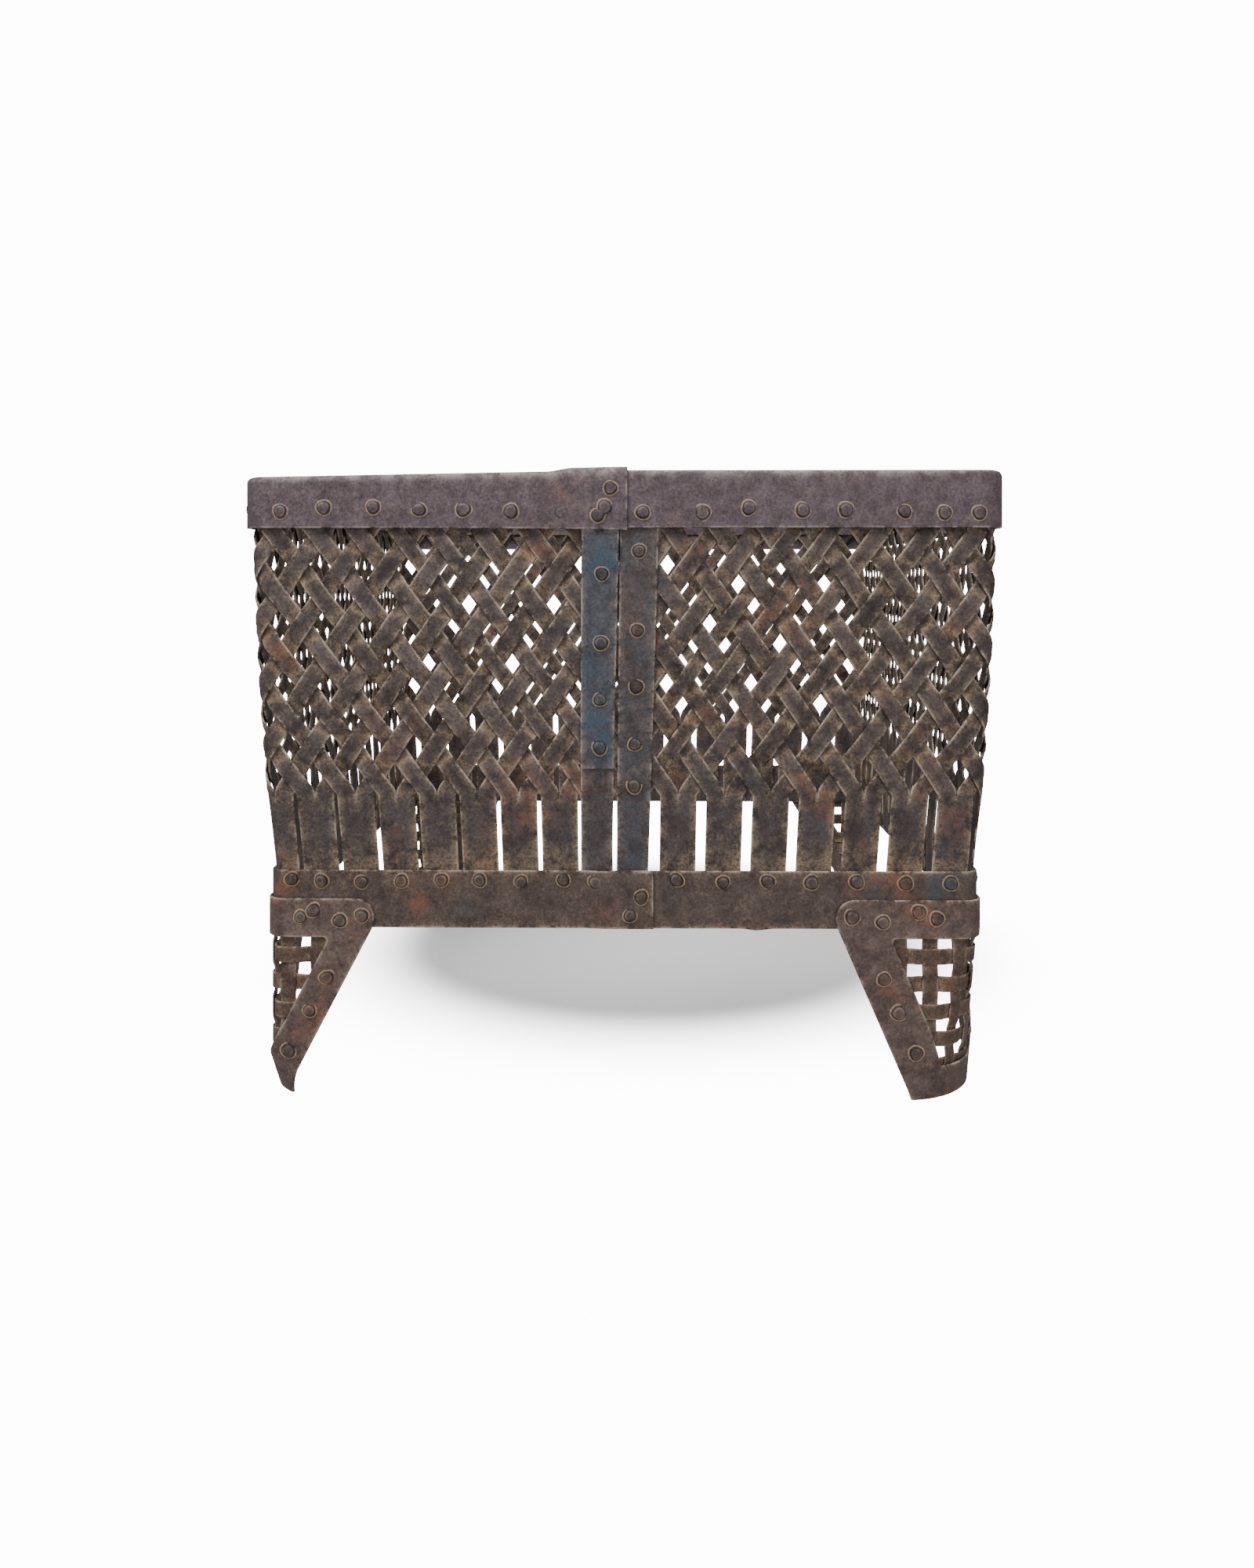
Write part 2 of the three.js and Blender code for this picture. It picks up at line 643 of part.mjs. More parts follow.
/** Rivets of one wing: a row along its top bar and a row down its sloping bar. */
function wingRivets(wing, side) {
  const top = (LEG_TOP + WINDOW_TOP) / 2;
  const topRow = LEG_TOP_RIVETS.map((share) => [side * share * wing.reach, top, LEG_FACE]);
  const middle = (z) => wingEdge(wing, z) - wing.bar / 2;
  const barRow = LEG_BAR_RIVET_HEIGHTS.map((z) => [side * middle(z), z, LEG_FACE]);
  return [...topRow, ...barRow.filter(([u]) => side * u > RIVET_RADIUS)];
}

/** A leg: one plate bent round its corner, with a window between its two sloping bars. */
function legPlate(corner, before, after) {
  const left = wingOutline(before).map(([u, z]) => [-u, z]).reverse();
  const outline = [...left, ...wingOutline(after)];
  const window = windowOutline(before, after, WINDOW_TOP, 0);
  const toVector = ([u, z]) => new THREE.Vector2(u, z);
  const rim = outline.map(toVector);
  const hole = window.map(toVector);
  const corners = [...rim, ...hole];
  const flat = THREE.ShapeUtils.triangulateShape(rim, [hole]).map((triangle) =>
    triangle.map((id) => [corners[id].x, corners[id].y, LEG_SHIFT]),
  );
  const place = placeOnCorner(corner);
  const plate = bendSheet(foldCorner(flat), LEG_THICKNESS, place);
  return riveted(plate, [...wingRivets(before, -1), ...wingRivets(after, 1)], place);
}

/** The edges of evenly spaced strips, in order, with a hole's middle at the given middle. */
function stripEdges(middle, pitch, reach) {
  const edges = [];
  const first = Math.ceil(-reach / pitch - 0.5);
  const last = Math.floor(reach / pitch - 0.5);
  for (let i = first; i <= last; i += 1) {
    const centre = middle + (i + 0.5) * pitch;
    edges.push(centre - LATTICE_STRIP / 2, centre + LATTICE_STRIP / 2);
  }
  return edges;
}

/** The strips woven square behind a leg's window, as one sheet with square holes. */
function legLattice(corner, before, after) {
  const top = BAND_BOTTOM - GAP;
  const region = windowOutline(before, after, top, LATTICE_MARGIN);
  const columns = stripEdges(0, LATTICE_COLUMN_PITCH, Math.max(before.reach, after.reach));
  const rows = stripEdges(WINDOW_TOP - LATTICE_HOLE_DROP, LATTICE_ROW_PITCH, BAND_BOTTOM);
  const cells = [];
  for (let i = 0; i < columns.length - 1; i += 1) {
    for (let j = 0; j < rows.length - 1; j += 1) {
      const isHole = i % 2 === 1 && j % 2 === 1;
      if (!isHole) cells.push(latticeCell(columns, rows, i, j));
    }
  }
  const inside = region.reduce((polygons, point, i) => {
    const next = region[(i + 1) % region.length];
    const [alongU, alongZ] = [next[0] - point[0], next[1] - point[1]];
    const outOf = ([u, z]) => (u - point[0]) * alongZ - (z - point[1]) * alongU;
    return keepSide(polygons, outOf);
  }, cells);
  return bendSheet(foldCorner(inside), LATTICE_THICKNESS, placeOnCorner(corner));
}

/** One cell of the lattice's board. */
const latticeCell = (columns, rows, i, j) => [
  [columns[i], rows[j], LATTICE_SHIFT],
  [columns[i + 1], rows[j], LATTICE_SHIFT],
  [columns[i + 1], rows[j + 1], LATTICE_SHIFT],
  [columns[i], rows[j + 1], LATTICE_SHIFT],
];

// ---- Finishes ----------------------------------------------------------------------------------

const iron = (color, roughness) => new THREE.MeshStandardMaterial({ color, roughness, metalness: 0.7 });

const FINISHES = {
  rim: iron('#5a4b48', 0.7),
  band: iron('#4f4444', 0.7),
  strap: iron('#5b4a42', 0.75),
  stile: iron('#54484a', 0.7),
  cover: iron('#46535c', 0.6),
  leg: iron('#4c4144', 0.7),
  lattice: iron('#5e4c42', 0.8),
};

// ---- The basket --------------------------------------------------------------------------------

const basket = new THREE.Group();

/** Adds one named piece. */
function addPiece(name, geometry, finish) {
  const piece = new THREE.Mesh(geometry, finish);
  piece.name = name;
  basket.add(piece);
}

const twoDigits = (number) => String(number).padStart(2, '0');

addPiece('rim_band', rimBand(), FINISHES.rim);
addPiece('base_band', baseBand(), FINISHES.band);
addPiece('stile_strap_left', stileStrapLeft(), FINISHES.stile);
addPiece('stile_strap_right', stileStrapRight(), FINISHES.stile);
addPiece('stile_cover_plate', stileCover(), FINISHES.cover);

// The two straps behind the stile stand one strap further in, until they are slit like the others.
const BEHIND_STILE = -(STRAP_THICKNESS + GAP);

[...LEFT_PLACES, ...STILE_PLACES, ...RIGHT_PLACES].forEach((u, i) => {
  const shift = STILE_PLACES.includes(u) ? BEHIND_STILE : 0;
  addPiece(`wall_strap_front_${twoDigits(i + 1)}`, wovenStraps([u], shift), FINISHES.strap);
});

['right', 'rear', 'left'].forEach((wall, w) => {
  for (let pair = 0; pair < STRAPS_PER_HIDDEN_WALL / 2; pair += 1) {
    const first = w * STRAPS_PER_HIDDEN_WALL + 2 * pair;
    const straps = wovenStraps(HIDDEN_PLACES.slice(first, first + 2));
    addPiece(`wall_straps_${wall}_${twoDigits(pair + 1)}`, straps, FINISHES.strap);
  }
});

const LEGS = [
  ['front_right', WIDE_WING, WIDE_WING],
  ['rear_right', WIDE_WING, NARROW_WING],
  ['rear_left', WIDE_WING, WIDE_WING],
  ['front_left', WIDE_WING, NARROW_WING],
];

LEGS.forEach(([name, before, after], corner) => {
  addPiece(`leg_${name}`, legPlate(corner, before, after), FINISHES.leg);
  addPiece(`leg_lattice_${name}`, legLattice(corner, before, after), FINISHES.lattice);
});

// The laps stand out at the front, so the basket moves back until its box is centred on the origin.
const box = new THREE.Box3().setFromObject(basket);
const middle = box.getCenter(new THREE.Vector3());
basket.position.set(-middle.x, -middle.y, -box.min.z);

export default basket;
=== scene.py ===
"""A square basket woven from flat iron straps, on four bent-plate corner legs.

Every sheet is laid out flat first, as u along the wall, z up it and a shift out of it, and then
bent round the basket. Lengths inside the classes are in millimetres, and meshes are in metres.
"""

import logging
import math
from dataclasses import dataclass, field
from enum import Enum
from typing import Callable

import bpy
import numpy as np
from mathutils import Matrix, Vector
from mathutils.geometry import delaunay_2d_cdt


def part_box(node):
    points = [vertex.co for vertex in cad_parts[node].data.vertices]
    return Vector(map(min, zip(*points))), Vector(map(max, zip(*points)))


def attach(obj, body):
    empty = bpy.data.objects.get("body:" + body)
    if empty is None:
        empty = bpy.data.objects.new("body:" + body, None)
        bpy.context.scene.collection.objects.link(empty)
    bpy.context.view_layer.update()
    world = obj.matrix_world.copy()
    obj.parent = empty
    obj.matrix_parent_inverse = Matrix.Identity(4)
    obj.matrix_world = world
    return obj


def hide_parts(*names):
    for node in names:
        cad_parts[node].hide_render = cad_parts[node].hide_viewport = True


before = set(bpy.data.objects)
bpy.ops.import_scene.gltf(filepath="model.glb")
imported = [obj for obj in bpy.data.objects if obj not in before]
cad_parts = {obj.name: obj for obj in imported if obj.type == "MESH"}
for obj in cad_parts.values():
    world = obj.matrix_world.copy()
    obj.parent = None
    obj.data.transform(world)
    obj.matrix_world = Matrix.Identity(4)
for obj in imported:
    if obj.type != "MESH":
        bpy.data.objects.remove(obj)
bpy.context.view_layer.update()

log = logging.getLogger("basket")

MM = 0.001
METRE = 1000.0
SEED = 19
QUARTER_TURN = math.pi / 2
SHARP_TURN = math.radians(50)  # faces that meet at more than this keep a crisp edge
WELD_STEPS = 50  # points in the same fiftieth of a millimetre are one

Array = np.ndarray
Corners = tuple[int, ...]
Place = Callable[[Array, Array, Array], Array]
Socket = bpy.types.NodeSocket
Spot = tuple[float, float, float]


# ---- Colours and nodes ---------------------------------------------------------------------------


def linear(hex_colour: str) -> tuple[float, float, float, float]:
    """Turns an sRGB hex colour into linear values.

    Args:
        hex_colour: The colour as #rrggbb.

    Returns:
        Red, green, blue and an alpha of one.
    """
    channels = [int(hex_colour[i : i + 2], 16) / 255 for i in (1, 3, 5)]
    bright = [c / 12.92 if c <= 0.04045 else ((c + 0.055) / 1.055) ** 2.4 for c in channels]
    return (*bright, 1.0)


def add_node(
    tree: bpy.types.NodeTree, kind: str, settings: dict | None = None, **inputs
) -> bpy.types.Node:
    """Adds a node with its settings and its inputs.

    Args:
        tree: The tree that takes the node.
        kind: The node's type name.
        settings: Properties of the node itself.
        **inputs: Values or output sockets by input name, with _ for a space, or in_0 by number.

    Returns:
        The new node.
    """
    node = tree.nodes.new(kind)
    for name, value in (settings or {}).items():
        setattr(node, name, value)
    for name, value in inputs.items():
        key = int(name[3:]) if name.startswith("in_") else name.replace("_", " ")
        if isinstance(value, bpy.types.NodeSocket):
            tree.links.new(value, node.inputs[key])
        else:
            node.inputs[key].default_value = value
    return node


# ---- Finishes ------------------------------------------------------------------------------------


@dataclass(frozen=True)
class AgedIron:
    """Old hand-forged wrought iron: a dark oxide skin with dust, rust and worn paint.

    The oxide gives a dull purple-brown ground that breaks up in patches a few centimetres wide.
    Dust lies where strips dip under each other and in rings round the rivets, and the edges are
    rubbed pale. The finest pits are well under half a millimetre wide: grain and speck are drawn
    coarser than they are, so that they show.
    """

    name: str
    slot: str
    dark: str = "#3f3635"
    light: str = "#6b615e"
    dust: str = "#75634a"
    rust: str = "#63361f"
    paint: str = "#2b3741"
    pale: str = "#8b837c"
    dust_share: float = 0.55
    rust_share: float = 0.35
    paint_share: float = 0.0
    pit_depth_mm: float = 0.25
    roughness: float = 0.68
    shine: float = 0.14
    broad_mm: float = 60.0
    patch_mm: float = 11.0
    film_mm: float = 9.0
    grain_mm: float = 1.8
    speck_mm: float = 0.8
    blue_mm: float = 28.0
    teal_mm: float = 34.0

    def build(self) -> bpy.types.Material:
        """Makes the finish's material."""
        material = bpy.data.materials.new(self.name)
        material.use_nodes = True
        tree = material.node_tree
        tree.nodes.clear()
        place = add_node(tree, "ShaderNodeTexCoord").outputs["Object"]

        def noise(size_mm: float, detail: float = 4.0, rough: float = 0.6) -> Socket:
            """Noise whose blotches are about size_mm wide."""
            node = add_node(
                tree, "ShaderNodeTexNoise", Vector=place, Scale=METRE / size_mm,
                Detail=detail, Roughness=rough,
            )
            return node.outputs["Fac"]

        def math_node(kind: str, *values: Socket | float, clamp: bool = False) -> Socket:
            """One step of arithmetic."""
            inputs = {f"in_{i}": value for i, value in enumerate(values)}
            settings = {"operation": kind, "use_clamp": clamp}
            return add_node(tree, "ShaderNodeMath", settings, **inputs).outputs[0]

        def between(
            value: Socket, low: float, high: float, out_low: float = 0.0, out_high: float = 1.0
        ) -> Socket:
            """Eases a value from out_low at low to out_high at high."""
            node = add_node(
                tree, "ShaderNodeMapRange", {"interpolation_type": "SMOOTHSTEP"},
                in_0=value, in_1=low, in_2=high, in_3=out_low, in_4=out_high,
            )
            return node.outputs[0]

        def mix(share: Socket, first: Socket, second: Socket, blend: str = "MIX") -> Socket:
            """Mixes two colours."""
            settings = {"data_type": "RGBA", "blend_type": blend}
            node = add_node(tree, "ShaderNodeMix", settings, in_0=share, in_6=first, in_7=second)
            return node.outputs[2]

        def painted(name: str) -> Socket:
            """A value stored on the mesh."""
            settings = {"attribute_name": name, "attribute_type": "GEOMETRY"}
            return add_node(tree, "ShaderNodeAttribute", settings).outputs["Fac"]

        broad = noise(self.broad_mm, 3)
        patch = noise(self.patch_mm, 8, 0.72)
        grain = noise(self.grain_mm, 6, 0.75)
        speck = noise(self.speck_mm, 3, 0.75)

        ground = mix(between(patch, 0.2, 0.8), linear(self.dark), linear(self.light))
        ground = mix(1.0, ground, math_node("ADD", painted("tone"), 1.0), "MULTIPLY")
        fine = between(grain, 0.3, 0.7, 0.6, 1.4)
        ground = mix(1.0, ground, fine, "MULTIPLY")

        blue_patch = between(noise(self.blue_mm, 5, 0.7), 0.42, 0.62)
        blue_patch = math_node("MULTIPLY", blue_patch, painted("paint"))
        blue = math_node("MULTIPLY", blue_patch, between(grain, 0.35, 0.55), clamp=True)
        ground = mix(blue, ground, linear(self.paint))
        teal = between(noise(self.teal_mm, 4), 0.56, 0.72)
        teal = math_node("MULTIPLY", teal, self.paint_share)
        ground = mix(teal, ground, linear(self.paint))

        rusty = math_node("MULTIPLY", between(broad, 0.52, 0.68), between(patch, 0.4, 0.62))
        rusty = math_node("MULTIPLY", rusty, self.rust_share, clamp=True)
        ground = mix(rusty, ground, linear(self.rust))

        recess = math_node("MULTIPLY", painted("recess"), between(patch, 0.35, 0.6))
        film = between(noise(self.film_mm, 6, 0.75), 0.54, 0.72)
        film = math_node("MULTIPLY", film, 0.45)
        dusty = math_node("MAXIMUM", recess, film)
        dusty = math_node("MULTIPLY", dusty, between(grain, 0.34, 0.6), clamp=True)
        dusty = math_node("MULTIPLY", dusty, self.dust_share, clamp=True)
        ringed = math_node("MULTIPLY", painted("ring"), between(grain, 0.3, 0.6, 0.3, 0.9))
        dusty = math_node("MAXIMUM", dusty, ringed, clamp=True)
        ground = mix(dusty, ground, linear(self.dust))

        # Pale rubbed edges and scratches; on the rim the same pale also paints a highlight along
        # the fold's top.
        rubbed = math_node("MULTIPLY", painted("edge"), between(patch, 0.42, 0.6))
        scratch = math_node("MULTIPLY", between(speck, 0.68, 0.78), 0.5)
        rubbed = math_node("MAXIMUM", math_node("MULTIPLY", rubbed, 0.65), scratch, clamp=True)
        ground = mix(rubbed, ground, linear(self.pale))

        rough = math_node("ADD", between(grain, 0.3, 0.7, -0.12, 0.12), self.roughness)
        rough = math_node("ADD", rough, math_node("MULTIPLY", dusty, 0.2), clamp=True)
        pits = math_node("MULTIPLY", grain, 0.6)
        height = math_node("ADD", pits, math_node("MULTIPLY", speck, 0.25))
        height = math_node("ADD", height, math_node("MULTIPLY", patch, 0.8))
        bump = add_node(
            tree, "ShaderNodeBump", Height=height, Strength=0.8, Distance=self.pit_depth_mm * MM,
        )
        shader = add_node(
            tree, "ShaderNodeBsdfPrincipled", Base_Color=ground, Metallic=0.1,
            Roughness=rough, Normal=bump.outputs[0],
        )
        shader.inputs["Specular IOR Level"].default_value = self.shine
        add_node(tree, "ShaderNodeOutputMaterial", Surface=shader.outputs[0])
        return material


class Finish(Enum):
    """The finishes of the basket's pieces."""

    # Forged and pitted: a dull violet skin, with a painted highlight in pale along the fold's top.
    RIM = AgedIron(
        "Pitted forged rim iron", "rim_iron", dark="#2e2527", light="#4b4145", dust="#85705a",
        dust_share=0.5, rust_share=0.3, pit_depth_mm=0.6, roughness=0.5,
    )
    # Rolled and scaled: brown, with rust and a few blue patches where paint is left.
    BAND = AgedIron(
        "Scaled band iron", "band_iron", dark="#261d1b", light="#443a35", dust="#806c53",
        rust_share=0.45, paint_share=0.35,
    )
    # Hammered flat and slit: dark slate flats, ochre dust in every dip and along the edges.
    STRAP = AgedIron(
        "Dusty hammered strap iron", "strap_iron", dark="#1f1919", light="#3b3534", dust="#78654b",
        dust_share=0.9, rust_share=0.35, paint_share=0.15,
    )
    # Hammered and once painted: slate, with blue left in patches.
    STILE = AgedIron(
        "Worn painted stile iron", "stile_iron", dark="#231d1d", light="#403a3a", dust="#806c53",
        dust_share=0.5, rust_share=0.2,
    )
    # Rolled and painted: a cool blue-grey face, rubbed to iron at the edges.
    COVER = AgedIron(
        "Blued cover plate", "blued_plate", dark="#212023", light="#3a3c41", dust="#806c53",
        dust_share=0.5, rust_share=0.2,
    )
    # Cut and bent plate: warm brown scale with broad rusty patches.
    LEG = AgedIron(
        "Scaled leg plate", "leg_iron", dark="#2c2220", light="#4d413c", dust="#85705a",
        dust_share=0.6, rust_share=0.6, paint_share=0.1,
    )
    # Thin cut strip, kept damp behind the plate: the rustiest iron of all.
    LATTICE = AgedIron(
        "Rusty lattice strip", "lattice_iron", dark="#2a1f1b", light="#463930", dust="#7a654b",
        dust_share=0.6, rust_share=0.8,
    )


MATERIALS: dict[Finish, bpy.types.Material] = {}


def material_of(finish: Finish) -> bpy.types.Material:
    """Gives a finish's material, made once."""
    if finish not in MATERIALS:
        MATERIALS[finish] = finish.value.build()
    return MATERIALS[finish]


# ---- The basket's shape --------------------------------------------------------------------------


@dataclass
class Shape:
    """The basket's sizes in millimetres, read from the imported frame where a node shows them."""

    flare: float = 14.5
    corner_radius: float = 9.0
    gap: float = 0.3
    strap_width: float = 25.0
    strap_thickness: float = 1.5
    band_thickness: float = 2.0
    leg_thickness: float = 2.0
    rim_thickness: float = 2.0
    skirt_height: float = 40.0
    inner_skirt_height: float = 24.0
    strap_tuck: float = 2.0
    split_rise: float = 53.0
    arm_slope: float = 1.455
    arm_bend: float = 3.0
    arm_top_tuck: float = 8.0
    centre_y: float = field(init=False)
    band_bottom: float = field(init=False)
    band_top: float = field(init=False)
    height: float = field(init=False)
    base_half: float = field(init=False)
    top_half: float = field(init=False)
    leg_top: float = field(init=False)

    def __post_init__(self) -> None:
        """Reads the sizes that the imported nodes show."""
        low_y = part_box("leg_lattice_front_right")[0][1] * METRE
        high_x, high_y, _ = (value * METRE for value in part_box("leg_lattice_rear_right")[1])
        self.centre_y = (low_y + high_y) / 2
        self.base_half = high_x - self.band_face
        self.top_half = high_x + self.flare - self.rim_face
        self.band_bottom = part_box("base_band")[0][2] * METRE
        self.band_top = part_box("base_band")[1][2] * METRE
        self.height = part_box("rim_band")[0][2] * METRE + self.skirt_height
        self.leg_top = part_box("leg_front_right")[1][2] * METRE

    @property
    def band_face(self) -> float:
        """How far the base band's outer face stands out from the wall's middle surface."""
        return self.strap_thickness / 2 + self.gap + self.band_thickness

    @property
    def split_height(self) -> float:
        """Height at which a strap is slit in two arms."""
        return self.band_top + self.split_rise

    @property
    def stile_shift(self) -> float:
        """How far the stile's middle stands out where it covers the weave."""
        return self.strap_thickness + self.gap / 2 + self.gap + self.strap_thickness / 2

    @property
    def rim_inside(self) -> float:
        """How far the skirt's inner face stands out."""
        return self.stile_shift + self.strap_thickness / 2 + self.gap

    @property
    def rim_face(self) -> float:
        """How far the skirt's outer face stands out."""
        return self.rim_inside + self.rim_thickness

    @property
    def leg_shift(self) -> float:
        """How far the leg plates' middle stands out."""
        return self.band_face + self.gap + self.leg_thickness / 2

    @property
    def wall_run(self) -> float:
        """The length of one wall from corner middle to corner middle, at the base."""
        return 2 * (self.base_half - self.corner_radius) + QUARTER_TURN * self.corner_radius

    @property
    def round(self) -> float:
        """The length once round the base."""
        return 4 * self.wall_run

    def half_width(self, z: Array) -> Array:
        """Half the wall's width: upright on the band, then leaning out along a curve."""
        rise = np.clip((z - self.band_top) / (self.height - self.band_top), 0, 1)
        return self.base_half + (self.top_half - self.base_half) * (1 - (1 - rise) ** 2)

    def turned(self, along: Array, out: Array, z: Array, wall: Array) -> Array:
        """Turns points of the front wall to their own wall, and gives them in metres."""
        angle = wall * QUARTER_TURN
        x = along * np.cos(angle) + out * np.sin(angle)
        y = along * np.sin(angle) - out * np.cos(angle) + self.centre_y
        return np.stack([x, y, z], axis=1) * MM

    def on_wall(self, u: Array, z: Array, out: Array) -> Array:
        """Bends flat points round the wall.

        Args:
            u: Length along the base from the front centre.
            z: Height.
            out: Distance out of the wall's middle surface.

        Returns:
            Points in metres.
        """
        radius = self.corner_radius
        flat = self.base_half - radius
        wall = np.floor((u + self.wall_run / 2) / self.wall_run)
        along = u - wall * self.wall_run
        side = np.sign(along)
        turn = np.clip(np.abs(along) - flat, 0, None) / radius
        core = self.half_width(z) - radius
        level = np.clip(along, -flat, flat) * core / flat + side * (radius + out) * np.sin(turn)
        return self.turned(level, core + (radius + out) * np.cos(turn), z, wall)

    def on_rim(self, u: Array, along: Array, out: Array) -> Array:
        """Folds flat points over the weave's top edge and bends them round the upright rim.

        Args:
            u: Length along the base from the front centre.
            along: Length over the fold, from the skirt's lower edge.
            out: Distance out of the folded sheet's middle surface.

        Returns:
            Points in metres.
        """
        half = self.rim_thickness / 2
        outer = self.rim_inside + half
        inner = -(self.rim_inside - half) - self.gap
        radius = (outer - inner) / 2
        rise = self.skirt_height - half - radius
        turn = np.clip((along - rise) / radius, 0, math.pi)
        down = np.clip(along - rise - math.pi * radius, 0, None)
        bent = self.on_wall(
            u, np.full_like(along, self.height), inner + radius + (radius + out) * np.cos(turn),
        )
        lift = np.clip(along, 0, rise) + (radius + out) * np.sin(turn) - down
        bent[:, 2] = (self.height - self.skirt_height + lift) * MM
        return bent

    @property
    def rim_length(self) -> float:
        """The flat width of the iron that is folded over the top edge."""
        half = self.rim_thickness / 2
        radius = (2 * self.rim_inside + self.gap) / 2
        sides = self.skirt_height + self.inner_skirt_height - 2 * half - 2 * radius
        return sides + math.pi * radius

    def on_corner(self, corner: int, foot_radius: float, foot_rise: float) -> Place:
        """Makes the bending function of one leg, whose u is 0 at its corner.

        Args:
            corner: 0 at the front right, then on round the basket.
            foot_radius: Radius of the corner's bend at the floor.
            foot_rise: Height up to which the bend is wider than the walls' own.

        Returns:
            A function of u, z and out.
        """

        def place(u: Array, z: Array, out: Array) -> Array:
            """Bends flat points round the corner, and gives them in metres."""
            drop = np.clip((foot_rise - z) / foot_rise, 0, 1)
            radius = self.corner_radius + (foot_radius - self.corner_radius) * drop
            reach = np.abs(u)
            turn = np.clip(1 - reach / radius, 0, 1) * QUARTER_TURN / 2
            core = self.base_half - radius
            level = core - np.clip(reach - radius, 0, None) + (radius + out) * np.sin(turn)
            outwards = core + (radius + out) * np.cos(turn)
            after = (u > 0).astype(float)
            return self.turned(level * (1 - 2 * after), outwards, z, corner + after)

        return place


# ---- Flat sheets ---------------------------------------------------------------------------------


@dataclass
class Sheet:
    """A flat sheet of quads or triangles with a thickness and painted values at each point."""

    points: list[Array] = field(default_factory=list)
    faces: list[Corners] = field(default_factory=list)
    count: int = 0

    COLUMNS = ("u", "z", "shift", "half", "edge", "recess", "ring", "paint", "tone")

    def add_grid(self, **values: Array) -> None:
        """Adds a grid of points, each value a table of rows up and columns across."""
        rows, columns = values["u"].shape
        table = np.zeros((rows * columns, len(self.COLUMNS)))
        for name, value in values.items():
            table[:, self.COLUMNS.index(name)] = np.broadcast_to(value, (rows, columns)).ravel()
        for row in range(rows - 1):
            for column in range(columns - 1):
                first = self.count + row * columns + column
                self.faces.append((first, first + 1, first + columns + 1, first + columns))
        self.points.append(table)
        self.count += rows * columns

    def add_triangles(self, table: Array, faces: list[Corners]) -> None:
        """Adds points given as a full table, with their faces."""
        self.faces += [tuple(i + self.count for i in face) for face in faces]
        self.points.append(table)
        self.count += len(table)

    def welded(self) -> tuple[Array, list[Corners]]:
        """Gives the points with doubles merged, and the faces between them."""
        table = np.concatenate(self.points)
        key = np.round(table[:, :2] * WELD_STEPS).astype(np.int64)
        _, first, inverse = np.unique(key, axis=0, return_index=True, return_inverse=True)
        inverse = inverse.ravel()
        faces = []
        for face in self.faces:
            ring = [int(inverse[i]) for i in face]
            ring = [a for i, a in enumerate(ring) if a != ring[i - 1]]
            if len(ring) > 2:
                faces.append(tuple(ring))
        return table[first], faces

    def solid(self, place: Place) -> tuple[Array, list[Corners], Array]:
        """Gives the sheet its thickness and bends it.

        Args:
            place: The bending function.

        Returns:
            Points in metres, faces, and the table of painted values.
        """
        table, faces = self.welded()
        u, z, shift, half = table[:, :4].T
        outer = place(u, z, shift + half)
        inner = place(u, z, shift - half)
        count = len(table)
        edges: dict[tuple[int, int], None] = {}
        for face in faces:
            for a, b in zip(face, face[1:] + face[:1]):
                if (b, a) in edges:
                    del edges[(b, a)]
                else:
                    edges[(a, b)] = None
        backs = [tuple(i + count for i in reversed(face)) for face in faces]
        walls = [(b, a, a + count, b + count) for a, b in edges]
        return np.concatenate([outer, inner]), faces + backs + walls, np.concatenate([table, table])


def make_object(
    name: str, points: Array, faces: list[Corners], values: Array, finish: Finish
) -> bpy.types.Object:
    """Makes a mesh object that stands at the origin, with its painted values.

    Args:
        name: The piece's name.
        points: Places in metres.
        faces: Corner numbers.
        values: A table with Sheet.COLUMNS.
        finish: The piece's finish.

    Returns:
        The new object.
    """
    mesh = bpy.data.meshes.new(name)
    mesh.from_pydata(points.tolist(), [], faces)
    for i, column in enumerate(Sheet.COLUMNS[4:], start=4):
        layer = mesh.attributes.new(column, "FLOAT", "POINT")
        layer.data.foreach_set("value", values[:, i].astype(np.float32))
    mesh.polygons.foreach_set("use_smooth", [True] * len(mesh.polygons))
    mesh.set_sharp_from_angle(angle=SHARP_TURN)
    mesh.validate()
    piece = bpy.data.objects.new(name, mesh)
    bpy.context.scene.collection.objects.link(piece)
    mesh.materials.append(material_of(finish))
    return piece


def finish_piece(piece: bpy.types.Object, finish: Finish, *nodes: str) -> None:
    """Rides a piece on the basket and hides the nodes that it stands for."""
    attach(piece, "root")
    if nodes:
        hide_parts(*nodes)
    log.info("%s: %d faces", piece.name, len(piece.data.polygons))


def sheet_piece(
    name: str, sheets: list[tuple[Sheet, Place]], finish: Finish, *nodes: str
) -> bpy.types.Object:
    """Makes one piece of one or more bent sheets.

    Args:
        name: The piece's name.
        sheets: Sheets with their bending functions.
        finish: The piece's finish.
        *nodes: The nodes that it replaces.

    Returns:
        The piece.
    """
    points, faces, values = [], [], []
    count = 0
    for sheet, place in sheets:
        places, corners, table = sheet.solid(place)
        points.append(places)
        faces += [tuple(i + count for i in face) for face in corners]
        values.append(table)
        count += len(places)
    piece = make_object(name, np.concatenate(points), faces, np.concatenate(values), finish)
    finish_piece(piece, finish, *nodes)
    return piece


# ---- Cross-sections of flat iron -----------------------------------------------------------------

EDGE_ROUND = 0.5  # width of a sheet's rounded edge
EDGE_WORN = 1.6  # width of the paler worn edge
PLAY = 0.1  # how much thinner a sheet is than its stock


def across(width: float, spacing: float = 4.0) -> Array:
    """Places across a strip, closer together at its rounded and worn edges."""
    half = width / 2
    flat = np.linspace(-(half - EDGE_WORN), half - EDGE_WORN, max(2, round(width / spacing)))
    return np.concatenate([[-half, EDGE_ROUND - half], flat, [half - EDGE_ROUND, half]])


